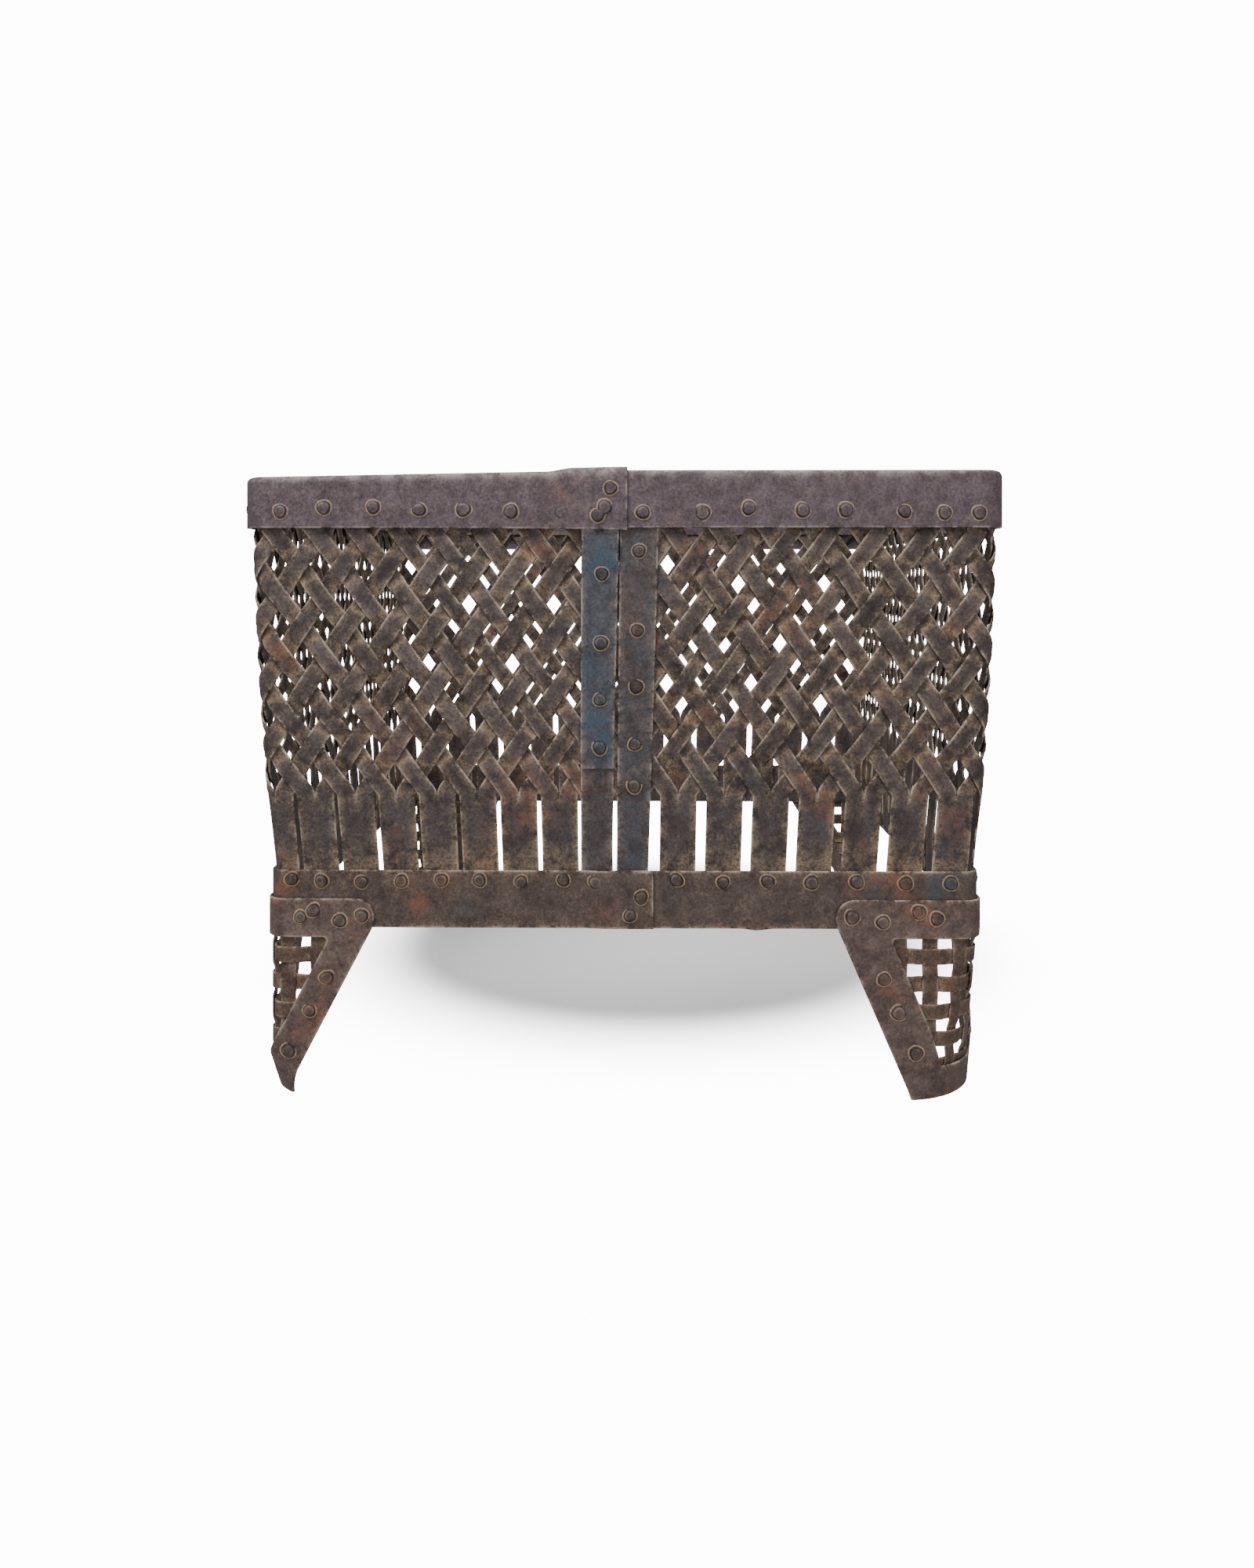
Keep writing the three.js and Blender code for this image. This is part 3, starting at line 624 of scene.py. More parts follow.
def between_ends(start: float, end: float, spacing: float) -> Array:
    """Places along a band, closer together at its rounded and worn ends."""
    flat = np.arange(start + EDGE_WORN, end - EDGE_WORN, spacing)
    last = [end - EDGE_WORN, end - EDGE_ROUND, end]
    return np.concatenate([[start, start + EDGE_ROUND], flat, last])


def edge_half(gap: Array, thickness: float) -> Array:
    """Half the thickness at a distance from the edge, thinner where the edge is rounded."""
    return thickness / 2 * (0.35 + 0.65 * np.sqrt(np.clip(gap / EDGE_ROUND, 0, 1)))


def edge_wear(gap: Array) -> Array:
    """How worn the iron is at a distance from its edge: one at the edge, and zero on the flat."""
    return np.clip(1 - gap / EDGE_WORN, 0, 1)


# ---- Woven straps --------------------------------------------------------------------------------


@dataclass(frozen=True)
class Strap:
    """One wall strap: its place and width, and how far in its upright part stands."""

    u: float
    width: float
    shift: float = 0.0


@dataclass
class StrapLayout:
    """Places of all wall straps, in order once round the basket from the front's first."""

    shape: Shape
    left_corner: float = 9.0
    left_stile: float = 41.7
    left_count: int = 8
    right_corner: float = 21.1
    right_stile: float = 39.7
    right_count: int = 7
    hidden_per_wall: int = 16
    stile_middle: float = -2.0
    stile_places: tuple[float, float] = (-18.3, 6.4)
    stile_width: float = 21.6

    def front(self) -> list[Strap]:
        """Gives the front's straps from left to right, with the two behind the stile."""
        edge = self.shape.base_half + self.shape.band_face
        width = self.shape.strap_width
        middle = self.stile_middle
        left = np.linspace(self.left_corner - edge, middle - self.left_stile, self.left_count)
        right = np.linspace(middle + self.right_stile, edge - self.right_corner, self.right_count)
        behind = -(self.shape.strap_thickness + self.shape.gap)
        hidden = [Strap(u, self.stile_width, behind) for u in self.stile_places]
        return [*(Strap(u, width) for u in left), *hidden, *(Strap(u, width) for u in right)]

    def hidden(self) -> list[Strap]:
        """Gives the evenly spaced straps of the other three walls."""
        front = self.front()
        last = self.shape.round + front[0].u
        places = np.linspace(front[-1].u, last, 3 * self.hidden_per_wall + 2)
        return [Strap(u, self.shape.strap_width) for u in places[1:-1]]


@dataclass
class Weave:
    """The arms' course: every strap is slit, and its arms pass over one arm and under the next."""

    shape: Shape
    layout: StrapLayout
    depth: float = 1.15
    tone_spread: float = 0.28
    crossing_share: float = 0.6
    station: float = 3.0 / 1.22
    first_station: float = 1.2
    first_rise: float = 3.0
    twist_length: float = 26.0
    upright_rows: int = 14
    banked_dust: float = 14.0
    most_crossings: int = 13
    dip_depth: float = 0.4
    dip_width: float = 0.45

    def __post_init__(self) -> None:
        """Lists the straps and draws each arm's own tone."""
        self.straps = self.layout.front() + self.layout.hidden()
        spread = self.tone_spread
        self.tones = np.random.default_rng(SEED + 2).uniform(-spread, spread, (len(self.straps), 2))

    def crossings(self, index: int, side: int) -> tuple[Array, Array]:
        """Finds where one strap's arm meets the arms of the straps on that side.

        Args:
            index: The strap's number.
            side: -1 for the arm that leans left, and 1 for the one that leans right.

        Returns:
            Sideways drifts, and the number of the crossing at each, from one for the first.
        """
        count = len(self.straps)
        here = self.straps[index]
        drifts = []
        for step in range(1, self.most_crossings + 1):
            turns, other = divmod(index + side * step, count)
            away = side * (self.straps[other].u + turns * self.shape.round - here.u)
            drifts.append((away - self.shape.strap_width / 2) / 2)
        return np.array(drifts), np.arange(1.0, len(drifts) + 1)

    def height_out(self, index: int, side: int, drift: Array) -> Array:
        """How far the arm stands out of the wall's middle, from -1 behind to 1 in front."""
        phase = np.interp(drift, *self.crossings(index, side))
        wave = np.cos(math.pi * (phase - 1)) * -side
        steep = np.clip(wave / self.crossing_share, -1, 1)
        return steep * (1.5 - 0.5 * steep**2)

    def add_strap(self, sheet: Sheet, index: int) -> None:
        """Adds one strap's upright part and both of its arms to a sheet."""
        strap = self.straps[index]
        half = strap.width / 4
        bottom = self.shape.band_bottom + self.shape.strap_tuck
        rows = np.linspace(bottom, self.shape.split_height, self.upright_rows)
        for side in (-1, 1):
            offsets = across(2 * half)
            u, z = np.meshgrid(strap.u + side * half + offsets, rows)
            outer_gap = half - side * np.broadcast_to(offsets, u.shape)
            slit_gap = half + side * np.broadcast_to(offsets, u.shape)
            slit_rise = (self.shape.split_height - z) / 2
            gap = np.minimum(outer_gap, np.maximum(slit_gap, slit_rise))
            twist = np.clip(1 - (self.shape.split_height - z) / self.twist_length, 0, 1)
            shift = strap.shift + twist * self.twisted(strap, side, offsets, np.zeros_like(z))
            banked = np.exp(-(((z - self.shape.band_top) / self.banked_dust) ** 2))
            sheet.add_grid(
                u=u, z=z, shift=shift,
                half=edge_half(gap, self.shape.strap_thickness - PLAY), edge=edge_wear(gap),
                recess=0.7 * edge_wear(gap / 3) + 0.5 * banked,
            )
            self.add_arm(sheet, index, side)

    def twisted(self, strap: Strap, side: int, offsets: Array, start: Array) -> Array:
        """How far each half of a strap stands out near the slit, where it twists into its arms."""
        outer_share = (side * offsets / (strap.width / 4) + 1) / 2
        share = start + (1 - start) * outer_share
        return -side * self.depth * share

    def add_arm(self, sheet: Sheet, index: int, side: int) -> None:
        """Adds one woven arm to a sheet."""
        strap = self.straps[index]
        quarter = strap.width / 4
        top = self.shape.height - self.shape.arm_top_tuck - self.shape.split_height
        bend = np.linspace(0, self.shape.arm_bend, 5)
        rise = np.concatenate([bend, np.arange(bend[-1] + self.first_station, top, self.station)])
        bent = np.minimum(rise, self.shape.arm_bend)
        lean = bent / self.shape.arm_bend / self.shape.arm_slope
        drift = lean * bent / 2 + (rise - bent) / self.shape.arm_slope
        middle = strap.u + side * (quarter + drift)
        length = np.hypot(1, lean)
        offsets = across(2 * quarter)
        u = middle[:, None] + offsets / length[:, None]
        z = self.shape.split_height + rise[:, None] - side * offsets * (lean / length)[:, None]
        front = self.height_out(index, side, drift)
        start = np.clip(rise / self.first_rise, 0, 1)[:, None]
        early = strap.shift * (1 - start) + self.twisted(strap, side, offsets, start)
        shift = np.where(start < 1, early, self.depth * front[:, None])
        gap = np.broadcast_to(quarter - np.abs(offsets), u.shape)
        dip = np.exp(-(((front + self.dip_depth) / self.dip_width) ** 2))[:, None]
        tone = self.tones[index, (side + 1) // 2] * start
        sheet.add_grid(
            u=u, z=z, shift=shift,
            half=edge_half(gap, self.shape.strap_thickness - PLAY), edge=edge_wear(gap),
            recess=np.clip(0.75 * dip + 0.75 * edge_wear(gap / 2), 0, 1), tone=tone,
        )

    def build(self) -> None:
        """Makes one piece of each front strap, and one of each pair on the other walls."""
        front = len(self.layout.front())
        for index in range(front):
            self.build_piece(f"wall_strap_front_{index + 1:02d}", [index])
        pairs = self.layout.hidden_per_wall // 2
        for w, wall in enumerate(("right", "rear", "left")):
            for pair in range(pairs):
                first = front + 2 * (w * pairs + pair)
                self.build_piece(f"wall_straps_{wall}_{pair + 1:02d}", [first, first + 1])

    def build_piece(self, node: str, indices: list[int]) -> None:
        """Makes the piece that stands for one node."""
        sheets = []
        for index in indices:
            sheet = Sheet()
            self.add_strap(sheet, index)
            sheets.append((sheet, self.shape.on_wall))
        sheet_piece(f"{node}.iron", sheets, Finish.STRAP, node)


# ---- Stile ---------------------------------------------------------------------------------------


Edges = tuple[float, float, float, float]  # left and right at the band, then at the rim


@dataclass
class Stile:
    """Two unslit straps at the front that cover the weave, and a painted plate on the left one."""

    shape: Shape
    rivets: "Rivets"
    left_edges: Edges = (-29.4, -7.9, -27.0, -2.5)
    right_edges: Edges = (-4.7, 17.3, -2.0, 23.6)
    step_rise: float = 7.0
    cover_rise: float = 19.0
    cover_rivet_shares: tuple[float, ...] = (0.09, 0.29, 0.525, 0.81)
    cover_rivet_aside: float = 1.5
    strap_rivet_shares: tuple[float, ...] = (0.195, 0.41, 0.62, 0.915)
    strap_paint: float = 0.45
    left_paint: float = 0.135
    strap_rows: int = 90
    cover_rows: int = 50

    @property
    def skirt_bottom(self) -> float:
        """Height of the rim skirt's lower edge."""
        return self.shape.height - self.shape.skirt_height

    def edges_at(self, edges: Edges, z: Array) -> tuple[Array, Array]:
        """Gives the left and right edge of a stile strap, which grows a little wider upwards."""
        low_left, low_right, high_left, high_right = edges
        bottom = self.shape.band_top
        share = np.clip((z - bottom) / (self.skirt_bottom - bottom), 0, 1)
        left = low_left + (high_left - low_left) * share
        return left, low_right + (high_right - low_right) * share

    def strip(self, edges: Edges, rows: Array, shift: Array, paint: float) -> Sheet:
        """Makes a strip between a stile strap's edges.

        Args:
            edges: Places of both edges at the band and at the rim.
            rows: Heights.
            shift: Distance out of the wall's middle surface at each height.
            paint: How much paint is left on it.

        Returns:
            The flat sheet.
        """
        left, right = (edge[:, None] for edge in self.edges_at(edges, rows))
        width = right - left
        share = across(self.shape.strap_width) / self.shape.strap_width + 0.5
        u = left + width * share
        end_gap = np.minimum(rows - rows[0], rows[-1] - rows)[:, None]
        gap = np.minimum(np.minimum(share, 1 - share) * width, end_gap)
        sheet = Sheet()
        sheet.add_grid(
            u=u, z=rows[:, None], shift=shift[:, None],
            half=edge_half(gap, self.shape.strap_thickness - PLAY), edge=edge_wear(gap),
            recess=0.5 * edge_wear(gap / 3), paint=paint,
        )
        return sheet

    def build(self) -> None:
        """Makes both straps, the plate and their rivets."""
        shape = self.shape
        bottom = shape.band_bottom + shape.strap_tuck
        split = shape.split_height
        rows = np.linspace(bottom, shape.height - shape.arm_top_tuck, self.strap_rows)
        step = np.clip((rows - split) / self.step_rise, 0, 1)
        shift = shape.stile_shift * step * step * (3 - 2 * step)
        foot = split + self.cover_rise
        top = self.skirt_bottom - shape.gap
        body = np.linspace(foot + EDGE_WORN, top, self.cover_rows)
        plate_rows = np.concatenate([[foot, foot + EDGE_ROUND], body])
        plate_shift = shape.stile_shift + shape.strap_thickness + shape.gap
        left = self.strip(self.left_edges, rows, shift, self.left_paint)
        right = self.strip(self.right_edges, rows, shift, self.strap_paint)
        level = np.full_like(plate_rows, plate_shift)
        plate = self.strip(self.left_edges, plate_rows, level, 1.0)
        for node, sheet, finish in (
            ("stile_strap_left", left, Finish.STILE),
            ("stile_strap_right", right, Finish.STILE),
            ("stile_cover_plate", plate, Finish.COVER),
        ):
            sheet_piece(f"{node}.iron", [(sheet, shape.on_wall)], finish, node)
        shares = np.array(self.strap_rivet_shares)
        heights = [split + self.step_rise, *(split + shares * (self.skirt_bottom - split))]
        self.add_rivets(
            "stile_strap_rivets", Finish.STILE, self.right_edges, heights, shape.stile_shift,
        )
        heights = foot + np.array(self.cover_rivet_shares) * (self.skirt_bottom - foot)
        self.add_rivets(
            "stile_cover_rivets", Finish.COVER, self.left_edges, heights, plate_shift,
            self.cover_rivet_aside,
        )

    def add_rivets(
        self, name: str, finish: Finish, edges: Edges, heights: Array, shift: float,
        aside: float = 0.0,
    ) -> None:
        """Adds a row of rivets up the middle of a strap.

        Args:
            name: The piece's name.
            finish: The rivets' finish.
            edges: Places of the strap's edges.
            heights: Heights of the rivets.
            shift: Distance of the strap's middle out of the wall's.
            aside: How far to the right of the strap's middle the row stands.
        """
        face = shift + self.shape.strap_thickness / 2
        spots = [(np.mean(self.edges_at(edges, z)) + aside, z, face) for z in heights]
        self.rivets.add_row(name, finish, self.shape.on_wall, spots)


# ---- Rivets --------------------------------------------------------------------------------------


@dataclass
class RivetTree:
    """A Geometry Nodes tree that sets a rivet head on every point, turned to face outwards."""

    name: str = "Rivet heads"

    def build(self) -> bpy.types.NodeTree:
        """Makes the tree."""
        tree = bpy.data.node_groups.new(self.name, "GeometryNodeTree")
        face = tree.interface
        face.new_socket("Points", in_out="INPUT", socket_type="NodeSocketGeometry")
        face.new_socket("Head", in_out="INPUT", socket_type="NodeSocketObject")
        face.new_socket("Finish", in_out="INPUT", socket_type="NodeSocketMaterial")
        face.new_socket("Tilt", in_out="INPUT", socket_type="NodeSocketFloat")
        face.new_socket("Seed", in_out="INPUT", socket_type="NodeSocketInt")
        face.new_socket("Rivets", in_out="OUTPUT", socket_type="NodeSocketGeometry")
        source = add_node(tree, "NodeGroupInput")
        outwards = add_node(
            tree, "GeometryNodeInputNamedAttribute", {"data_type": "FLOAT_VECTOR"}, Name="outwards",
        )
        facing = add_node(
            tree, "FunctionNodeAlignRotationToVector", {"axis": "Z"}, Vector=outwards.outputs[0],
        )
        tilt = source.outputs["Tilt"]
        lean = add_node(tree, "ShaderNodeMath", {"operation": "MULTIPLY"}, in_0=tilt, in_1=-1.0)
        back = lean.outputs[0]
        low = add_node(tree, "ShaderNodeCombineXYZ", X=back, Y=back, Z=-math.pi)
        high = add_node(tree, "ShaderNodeCombineXYZ", X=tilt, Y=tilt, Z=math.pi)
        spin = add_node(
            tree, "FunctionNodeRandomValue", {"data_type": "FLOAT_VECTOR"},
            in_0=low.outputs[0], in_1=high.outputs[0], Seed=source.outputs["Seed"],
        )
        turned = add_node(
            tree, "FunctionNodeRotateRotation", {"rotation_space": "LOCAL"},
            in_0=facing.outputs[0], in_1=spin.outputs[0],
        )
        size = add_node(
            tree, "FunctionNodeRandomValue", {"data_type": "FLOAT_VECTOR"},
            in_0=(0.9, 0.9, 0.75), in_1=(1.08, 1.08, 1.1), Seed=source.outputs["Seed"],
        )
        head = add_node(
            tree, "GeometryNodeObjectInfo", {"transform_space": "ORIGINAL"},
            Object=source.outputs["Head"],
        )
        placed = add_node(
            tree, "GeometryNodeInstanceOnPoints", Points=source.outputs["Points"],
            Instance=head.outputs["Geometry"], Rotation=turned.outputs[0], Scale=size.outputs[0],
        )
        real = add_node(tree, "GeometryNodeRealizeInstances", Geometry=placed.outputs[0])
        finished = add_node(
            tree, "GeometryNodeSetMaterial", Geometry=real.outputs[0],
            Material=source.outputs["Finish"],
        )
        add_node(tree, "NodeGroupOutput", in_0=finished.outputs[0])
        return tree


def apply_tree(piece: bpy.types.Object, tree: bpy.types.NodeTree, **inputs) -> None:
    """Runs a Geometry Nodes tree on a piece once, and keeps the plain mesh that it gives.

    Args:
        piece: The object whose mesh is replaced.
        tree: The tree.
        **inputs: Values by input name.
    """
    modifier = piece.modifiers.new(tree.name, "NODES")
    modifier.node_group = tree
    for item in tree.interface.items_tree:
        if item.item_type == "SOCKET" and item.in_out == "INPUT" and item.name in inputs:
            modifier[item.identifier] = inputs[item.name]
    bpy.context.view_layer.update()
    depsgraph = bpy.context.evaluated_depsgraph_get()
    mesh = bpy.data.meshes.new_from_object(piece.evaluated_get(depsgraph))
    piece.modifiers.remove(modifier)
    mesh.name = piece.name
    piece.data = mesh


@dataclass
class Rivets:
    """Low hammered rivet heads in rows, each packed round with a ring of dust and darkened at the
    foot with painted shade.
    """

    shape: Shape
    radius: float = 4.5
    head: float = 2.3
    ring: float = 1.5
    head_tone: float = -0.2
    # Painted shade: how much darker the head's foot is drawn, where it meets the sheet.
    foot_shade: float = -0.6
    skirt_dust: float = 0.3
    root: float = 0.8
    unround: float = 0.04
    tilt: float = 0.05
    sides: int = 24

    def __post_init__(self) -> None:
        """Makes the tree and the head that it sets out."""
        self.tree = RivetTree().build()
        self.source = self.head_object()

    def head_profile(self) -> list[tuple[float, float, float]]:
        """Gives the head's outline from its middle: share of its radius, height and wear."""
        skirt = 1 + self.ring / self.radius
        return [
            (0.0, self.head, 0.0),
            (0.5, self.head * 0.98, 0.0),
            (0.76, self.head * 0.92, 0.3),
            (0.9, self.head * 0.7, 0.1),
            (0.97, self.head * 0.4, 0.0),
            (1.0, 0.1, 0.0),
            (1 + 0.6 * (skirt - 1), 0.16, 0.0),
            (skirt, 0.02, 0.0),
            (skirt, -self.root, 0.0),
        ]

    def head_object(self) -> bpy.types.Object:
        """Makes one head: a flat crown, a rounded shoulder with painted shade at its foot, and a
        thin skirt of dust.
        """
        profile = self.head_profile()
        skirt = profile[-1][0]
        points = [(0.0, 0.0, profile[0][1] * MM)]
        worn, dusty, tones = [profile[0][2]], [0.0], [self.head_tone]
        faces = []
        for step, (share, z, edge) in enumerate(profile[1:]):
            # Painted shade: the lower shoulder and foot of the head are darkened where they meet
            # the sheet.
            tone = self.head_tone if share < 0.9 else self.foot_shade
            dust = 1.0 if share < skirt else self.skirt_dust
            for side in range(self.sides):
                angle = 2 * math.pi * side / self.sides
                radius = share * self.radius * (1 + self.unround * math.sin(3 * angle + 1)) * MM
                points.append((radius * math.cos(angle), radius * math.sin(angle), z * MM))
                worn.append(edge)
                tones.append(tone if share <= 1 else 0.0)
                dusty.append(dust if share > 1 else 0.0)
                here = 1 + step * self.sides + side
                beside = 1 + step * self.sides + (side + 1) % self.sides
                if step == 0:
                    faces.append((0, here, beside))
                else:
                    faces.append((here - self.sides, here, beside, beside - self.sides))
        last = 1 + (len(profile) - 2) * self.sides
        faces.append(tuple(last + side for side in reversed(range(self.sides))))
        mesh = bpy.data.meshes.new("rivet_head_pattern")
        mesh.from_pydata(points, [], faces)
        for name, values in (("edge", worn), ("ring", dusty), ("tone", tones)):
            mesh.attributes.new(name, "FLOAT", "POINT").data.foreach_set("value", values)
        mesh.polygons.foreach_set("use_smooth", [True] * len(mesh.polygons))
        return bpy.data.objects.new("rivet_head_pattern", mesh)

    def add_row(self, name: str, finish: Finish, place: Place, spots: list[Spot]) -> None:
        """Makes one piece of all rivets that stand on one kind of sheet.

        Args:
            name: The piece's name.
            finish: The rivets' finish.
            place: The bending function of their sheet.
            spots: Flat places: u, z and the distance of the sheet's face from the wall's middle.
        """
        u, z, out = (np.array(column, dtype=float) for column in zip(*spots))
        feet = place(u, z, out)
        outwards = place(u, z, out + 1) - feet
        self.add_points(name, finish, feet, outwards)

    def add_points(self, name: str, finish: Finish, feet: Array, outwards: Array) -> None:
        """Makes one piece of rivets from their feet and the directions that they face."""
        mesh = bpy.data.meshes.new(name)
        mesh.from_pydata(feet.tolist(), [], [])
        outwards = outwards / np.linalg.norm(outwards, axis=1, keepdims=True)
        mesh.attributes.new("outwards", "FLOAT_VECTOR", "POINT").data.foreach_set(
            "vector", outwards.astype(np.float32).ravel()
        )
        piece = bpy.data.objects.new(name, mesh)
        bpy.context.scene.collection.objects.link(piece)
        apply_tree(
            piece, self.tree, Head=self.source, Finish=material_of(finish), Tilt=self.tilt,
            Seed=SEED + len(name),
        )
        finish_piece(piece, finish)


# ---- Bands ---------------------------------------------------------------------------------------


def lap_step(u: Array, start: float, jog: float = 18.0) -> Array:
    """How far a band has stepped out over its own end: from 0 to 1 over the jog before start."""
    share = np.clip((u - (start - jog)) / jog, 0, 1)
    return share * share * (3 - 2 * share)


@dataclass
class BaseBand:
    """The flat iron round the walls' foot, lapped over its own end at the front."""

    shape: Shape
    rivets: Rivets
    straps: list[Strap]
    lap_edge: float = 21.0
    lap: float = 30.0
    rivet_drop: float = 7.0
    lap_rivets: tuple[tuple[float, float], ...] = ((12.4, 140.3), (4.7, 127.6))
    spacing: float = 4.0
    dent_u: float = 93.0
    dent_drop: float = 1.3
    dent_length: float = 7.0
    dent_height: float = 12.0
    uneven: tuple[float, float] = (1.0, 0.8)

    def build(self) -> None:
        """Makes the band and its rivets."""
        shape = self.shape
        start = self.lap_edge - self.lap
        end = shape.round + self.lap_edge
        height = shape.band_top - shape.band_bottom
        u = between_ends(start, end, self.spacing)
        z = across(height) + shape.band_bottom + height / 2
        u_grid, z_grid = (table.T for table in np.meshgrid(u, z))
        side_gap = np.minimum(z_grid - shape.band_bottom, shape.band_top - z_grid)
        gap = np.minimum(side_gap, np.minimum(u_grid - start, end - u_grid))
        step = lap_step(u_grid, shape.round + start - shape.gap)
        flat = shape.band_face - shape.band_thickness / 2
        shift = flat + step * (shape.band_thickness + shape.gap)
        low = np.clip(1 - (z_grid - shape.band_bottom) / self.dent_height, 0, 1)
        dent = self.dent_drop * low * np.exp(-(((u_grid - self.dent_u) / self.dent_length) ** 2))
        sheet = Sheet()
        sheet.add_grid(
            u=u_grid.T, z=(z_grid - dent).T, shift=shift.T,
            half=edge_half(gap, shape.band_thickness - PLAY).T, edge=edge_wear(gap).T,
            recess=(0.6 * edge_wear(gap / 3)).T,
        )
        sheet_piece("base_band.iron", [(sheet, shape.on_wall)], Finish.BAND, "base_band")
        self.add_rivets()

    def add_rivets(self) -> None:
        """Adds a rivet through every strap but those at the lap, and two through the lap."""
        shape = self.shape
        flat = shape.base_half - shape.corner_radius - self.rivets.radius
        jitter = np.random.default_rng(SEED).normal(0, 1, (len(self.straps), 2))
        spots = []
        for strap, (aside, up) in zip(self.straps, jitter):
            middle = round(strap.u / shape.wall_run) * shape.wall_run
            u = middle + float(np.clip(strap.u + self.uneven[0] * aside - middle, -flat, flat))
            if strap.shift == 0 or strap.u < 0:
                z = shape.band_top - self.rivet_drop + self.uneven[1] * up
                spots.append((u, z, shape.band_face))
        lap_face = shape.band_face + shape.band_thickness + shape.gap
        spots += [(u, z, lap_face) for u, z in self.lap_rivets]
        self.rivets.add_row("base_band_rivets", Finish.BAND, shape.on_wall, spots)


@dataclass
class Rim:
    """The flat iron folded over the weave's top edge, lapped over its own end at the front."""

    shape: Shape
    rivets: Rivets
    lap_edge: float = 3.0
    lap: float = 35.0
    rivet_height: float = 408.0
    front_rivets: tuple[float, ...] = (13, 52, 82, 117, 145, 183, 209)
    last_rivets: tuple[float, ...] = (-224, -195.5, -163, -133, -104, -73, -40)
    lap_rivets: tuple[tuple[float, float], ...] = ((-8, 423), (-11.8, 410), (-16.2, 404.4))
    rivet_pitch: float = 31.0
    rivet_uneven: float = 1.6
    spacing: float = 3.5
    fold_spacing: float = 2.2
    # Place and width of the pale band painted along the fold's top, for both rubbed iron and
    # painted highlight.
    fold_highlight_rise: float = 3.0
    fold_highlight_width: float = 6.0
    end_sag: float = 1.6
    sag_length: float = 60.0
    sunk_drop: float = 4.5
    sunk_length: float = 240.0

    def build(self) -> None:
        """Makes the rim and its rivets."""
        shape = self.shape
        start = self.lap_edge - self.lap
        end = shape.round + self.lap_edge
        length = shape.rim_length
        u = between_ends(start, end, self.spacing)
        along = across(length, self.fold_spacing) + length / 2
        u_grid, v_grid = np.meshgrid(u, along)
        side_gap = np.minimum(v_grid, length - v_grid)
        gap = np.minimum(side_gap, np.minimum(u_grid - start, end - u_grid))
        step = lap_step(u_grid, shape.round + start - shape.gap)
        shift = step * (shape.rim_thickness + shape.gap)
        top = shape.skirt_height + self.fold_highlight_rise
        # Painted highlight: the fold's top is painted pale, standing for both rubbed iron and the
        # light it catches.
        fold_highlight = np.exp(-(((v_grid - top) / self.fold_highlight_width) ** 2))
        sheet = Sheet()
        sheet.add_grid(
            u=u_grid, z=v_grid, shift=shift, half=edge_half(gap, shape.rim_thickness - PLAY),
            edge=np.maximum(edge_wear(gap), 0.8 * fold_highlight),
        )
        sheet_piece("rim_band.iron", [(sheet, self.folded)], Finish.RIM, "rim_band")
        self.add_rivets()

    def folded(self, u: Array, along: Array, out: Array) -> Array:
        """Folds the rim, whose outer end sags at the lap and whose top sinks at one corner."""
        bent = self.shape.on_rim(u, along, out)
        before = self.shape.round + self.lap_edge - u
        skirt = np.clip(1 - along / self.shape.skirt_height, 0, 1)
        bent[:, 2] -= self.end_sag * skirt * np.exp(-before / self.sag_length) * MM
        corner = 3.5 * self.shape.wall_run
        sunk = np.clip(1 - np.abs(u - corner) / self.sunk_length, 0, 1)
        bent[:, 2] -= self.sunk_drop * (1 - skirt) * sunk * MM
        return bent

    def add_rivets(self) -> None:
        """Adds a row of rivets round the skirt, and three through the lap."""
        shape = self.shape
        first = self.front_rivets[-1] + self.rivet_pitch
        last = shape.round + self.last_rivets[0] - self.rivet_pitch
        hidden = np.linspace(first, last, round((last - first) / self.rivet_pitch) + 1)
        flat = shape.base_half - shape.corner_radius - self.rivets.radius
        middles = np.round(hidden / shape.wall_run) * shape.wall_run
        hidden = middles + np.clip(hidden - middles, -flat, flat)
        row = [*self.last_rivets, *self.front_rivets, *hidden]
        rise = np.random.default_rng(SEED + 1).normal(0, self.rivet_uneven, len(row))
        spots = [(u, self.rivet_height + up, shape.rim_face) for u, up in zip(row, rise)]
        lap_face = shape.rim_face + shape.rim_thickness + shape.gap
        spots += [(u, z, lap_face) for u, z in self.lap_rivets]
        u, z, out = (np.array(column, dtype=float) for column in zip(*spots))
        feet = shape.on_wall(u, np.full_like(z, shape.height), out)
        outwards = shape.on_wall(u, np.full_like(z, shape.height), out + 1) - feet
        feet[:, 2] = z * MM
        self.rivets.add_points("rim_band_rivets", Finish.RIM, feet, outwards)


# ---- Legs ----------------------------------------------------------------------------------------


@dataclass(frozen=True)
class Wing:
    """One half of a leg plate: its reach at the band, where its foot ends, and its bar's width."""

    reach: float
    tip: float
    bar: float


WIDE = Wing(reach=96, tip=45, bar=34)
NARROW = Wing(reach=70, tip=-4, bar=30)
SLIM = Wing(reach=70, tip=8, bar=27)


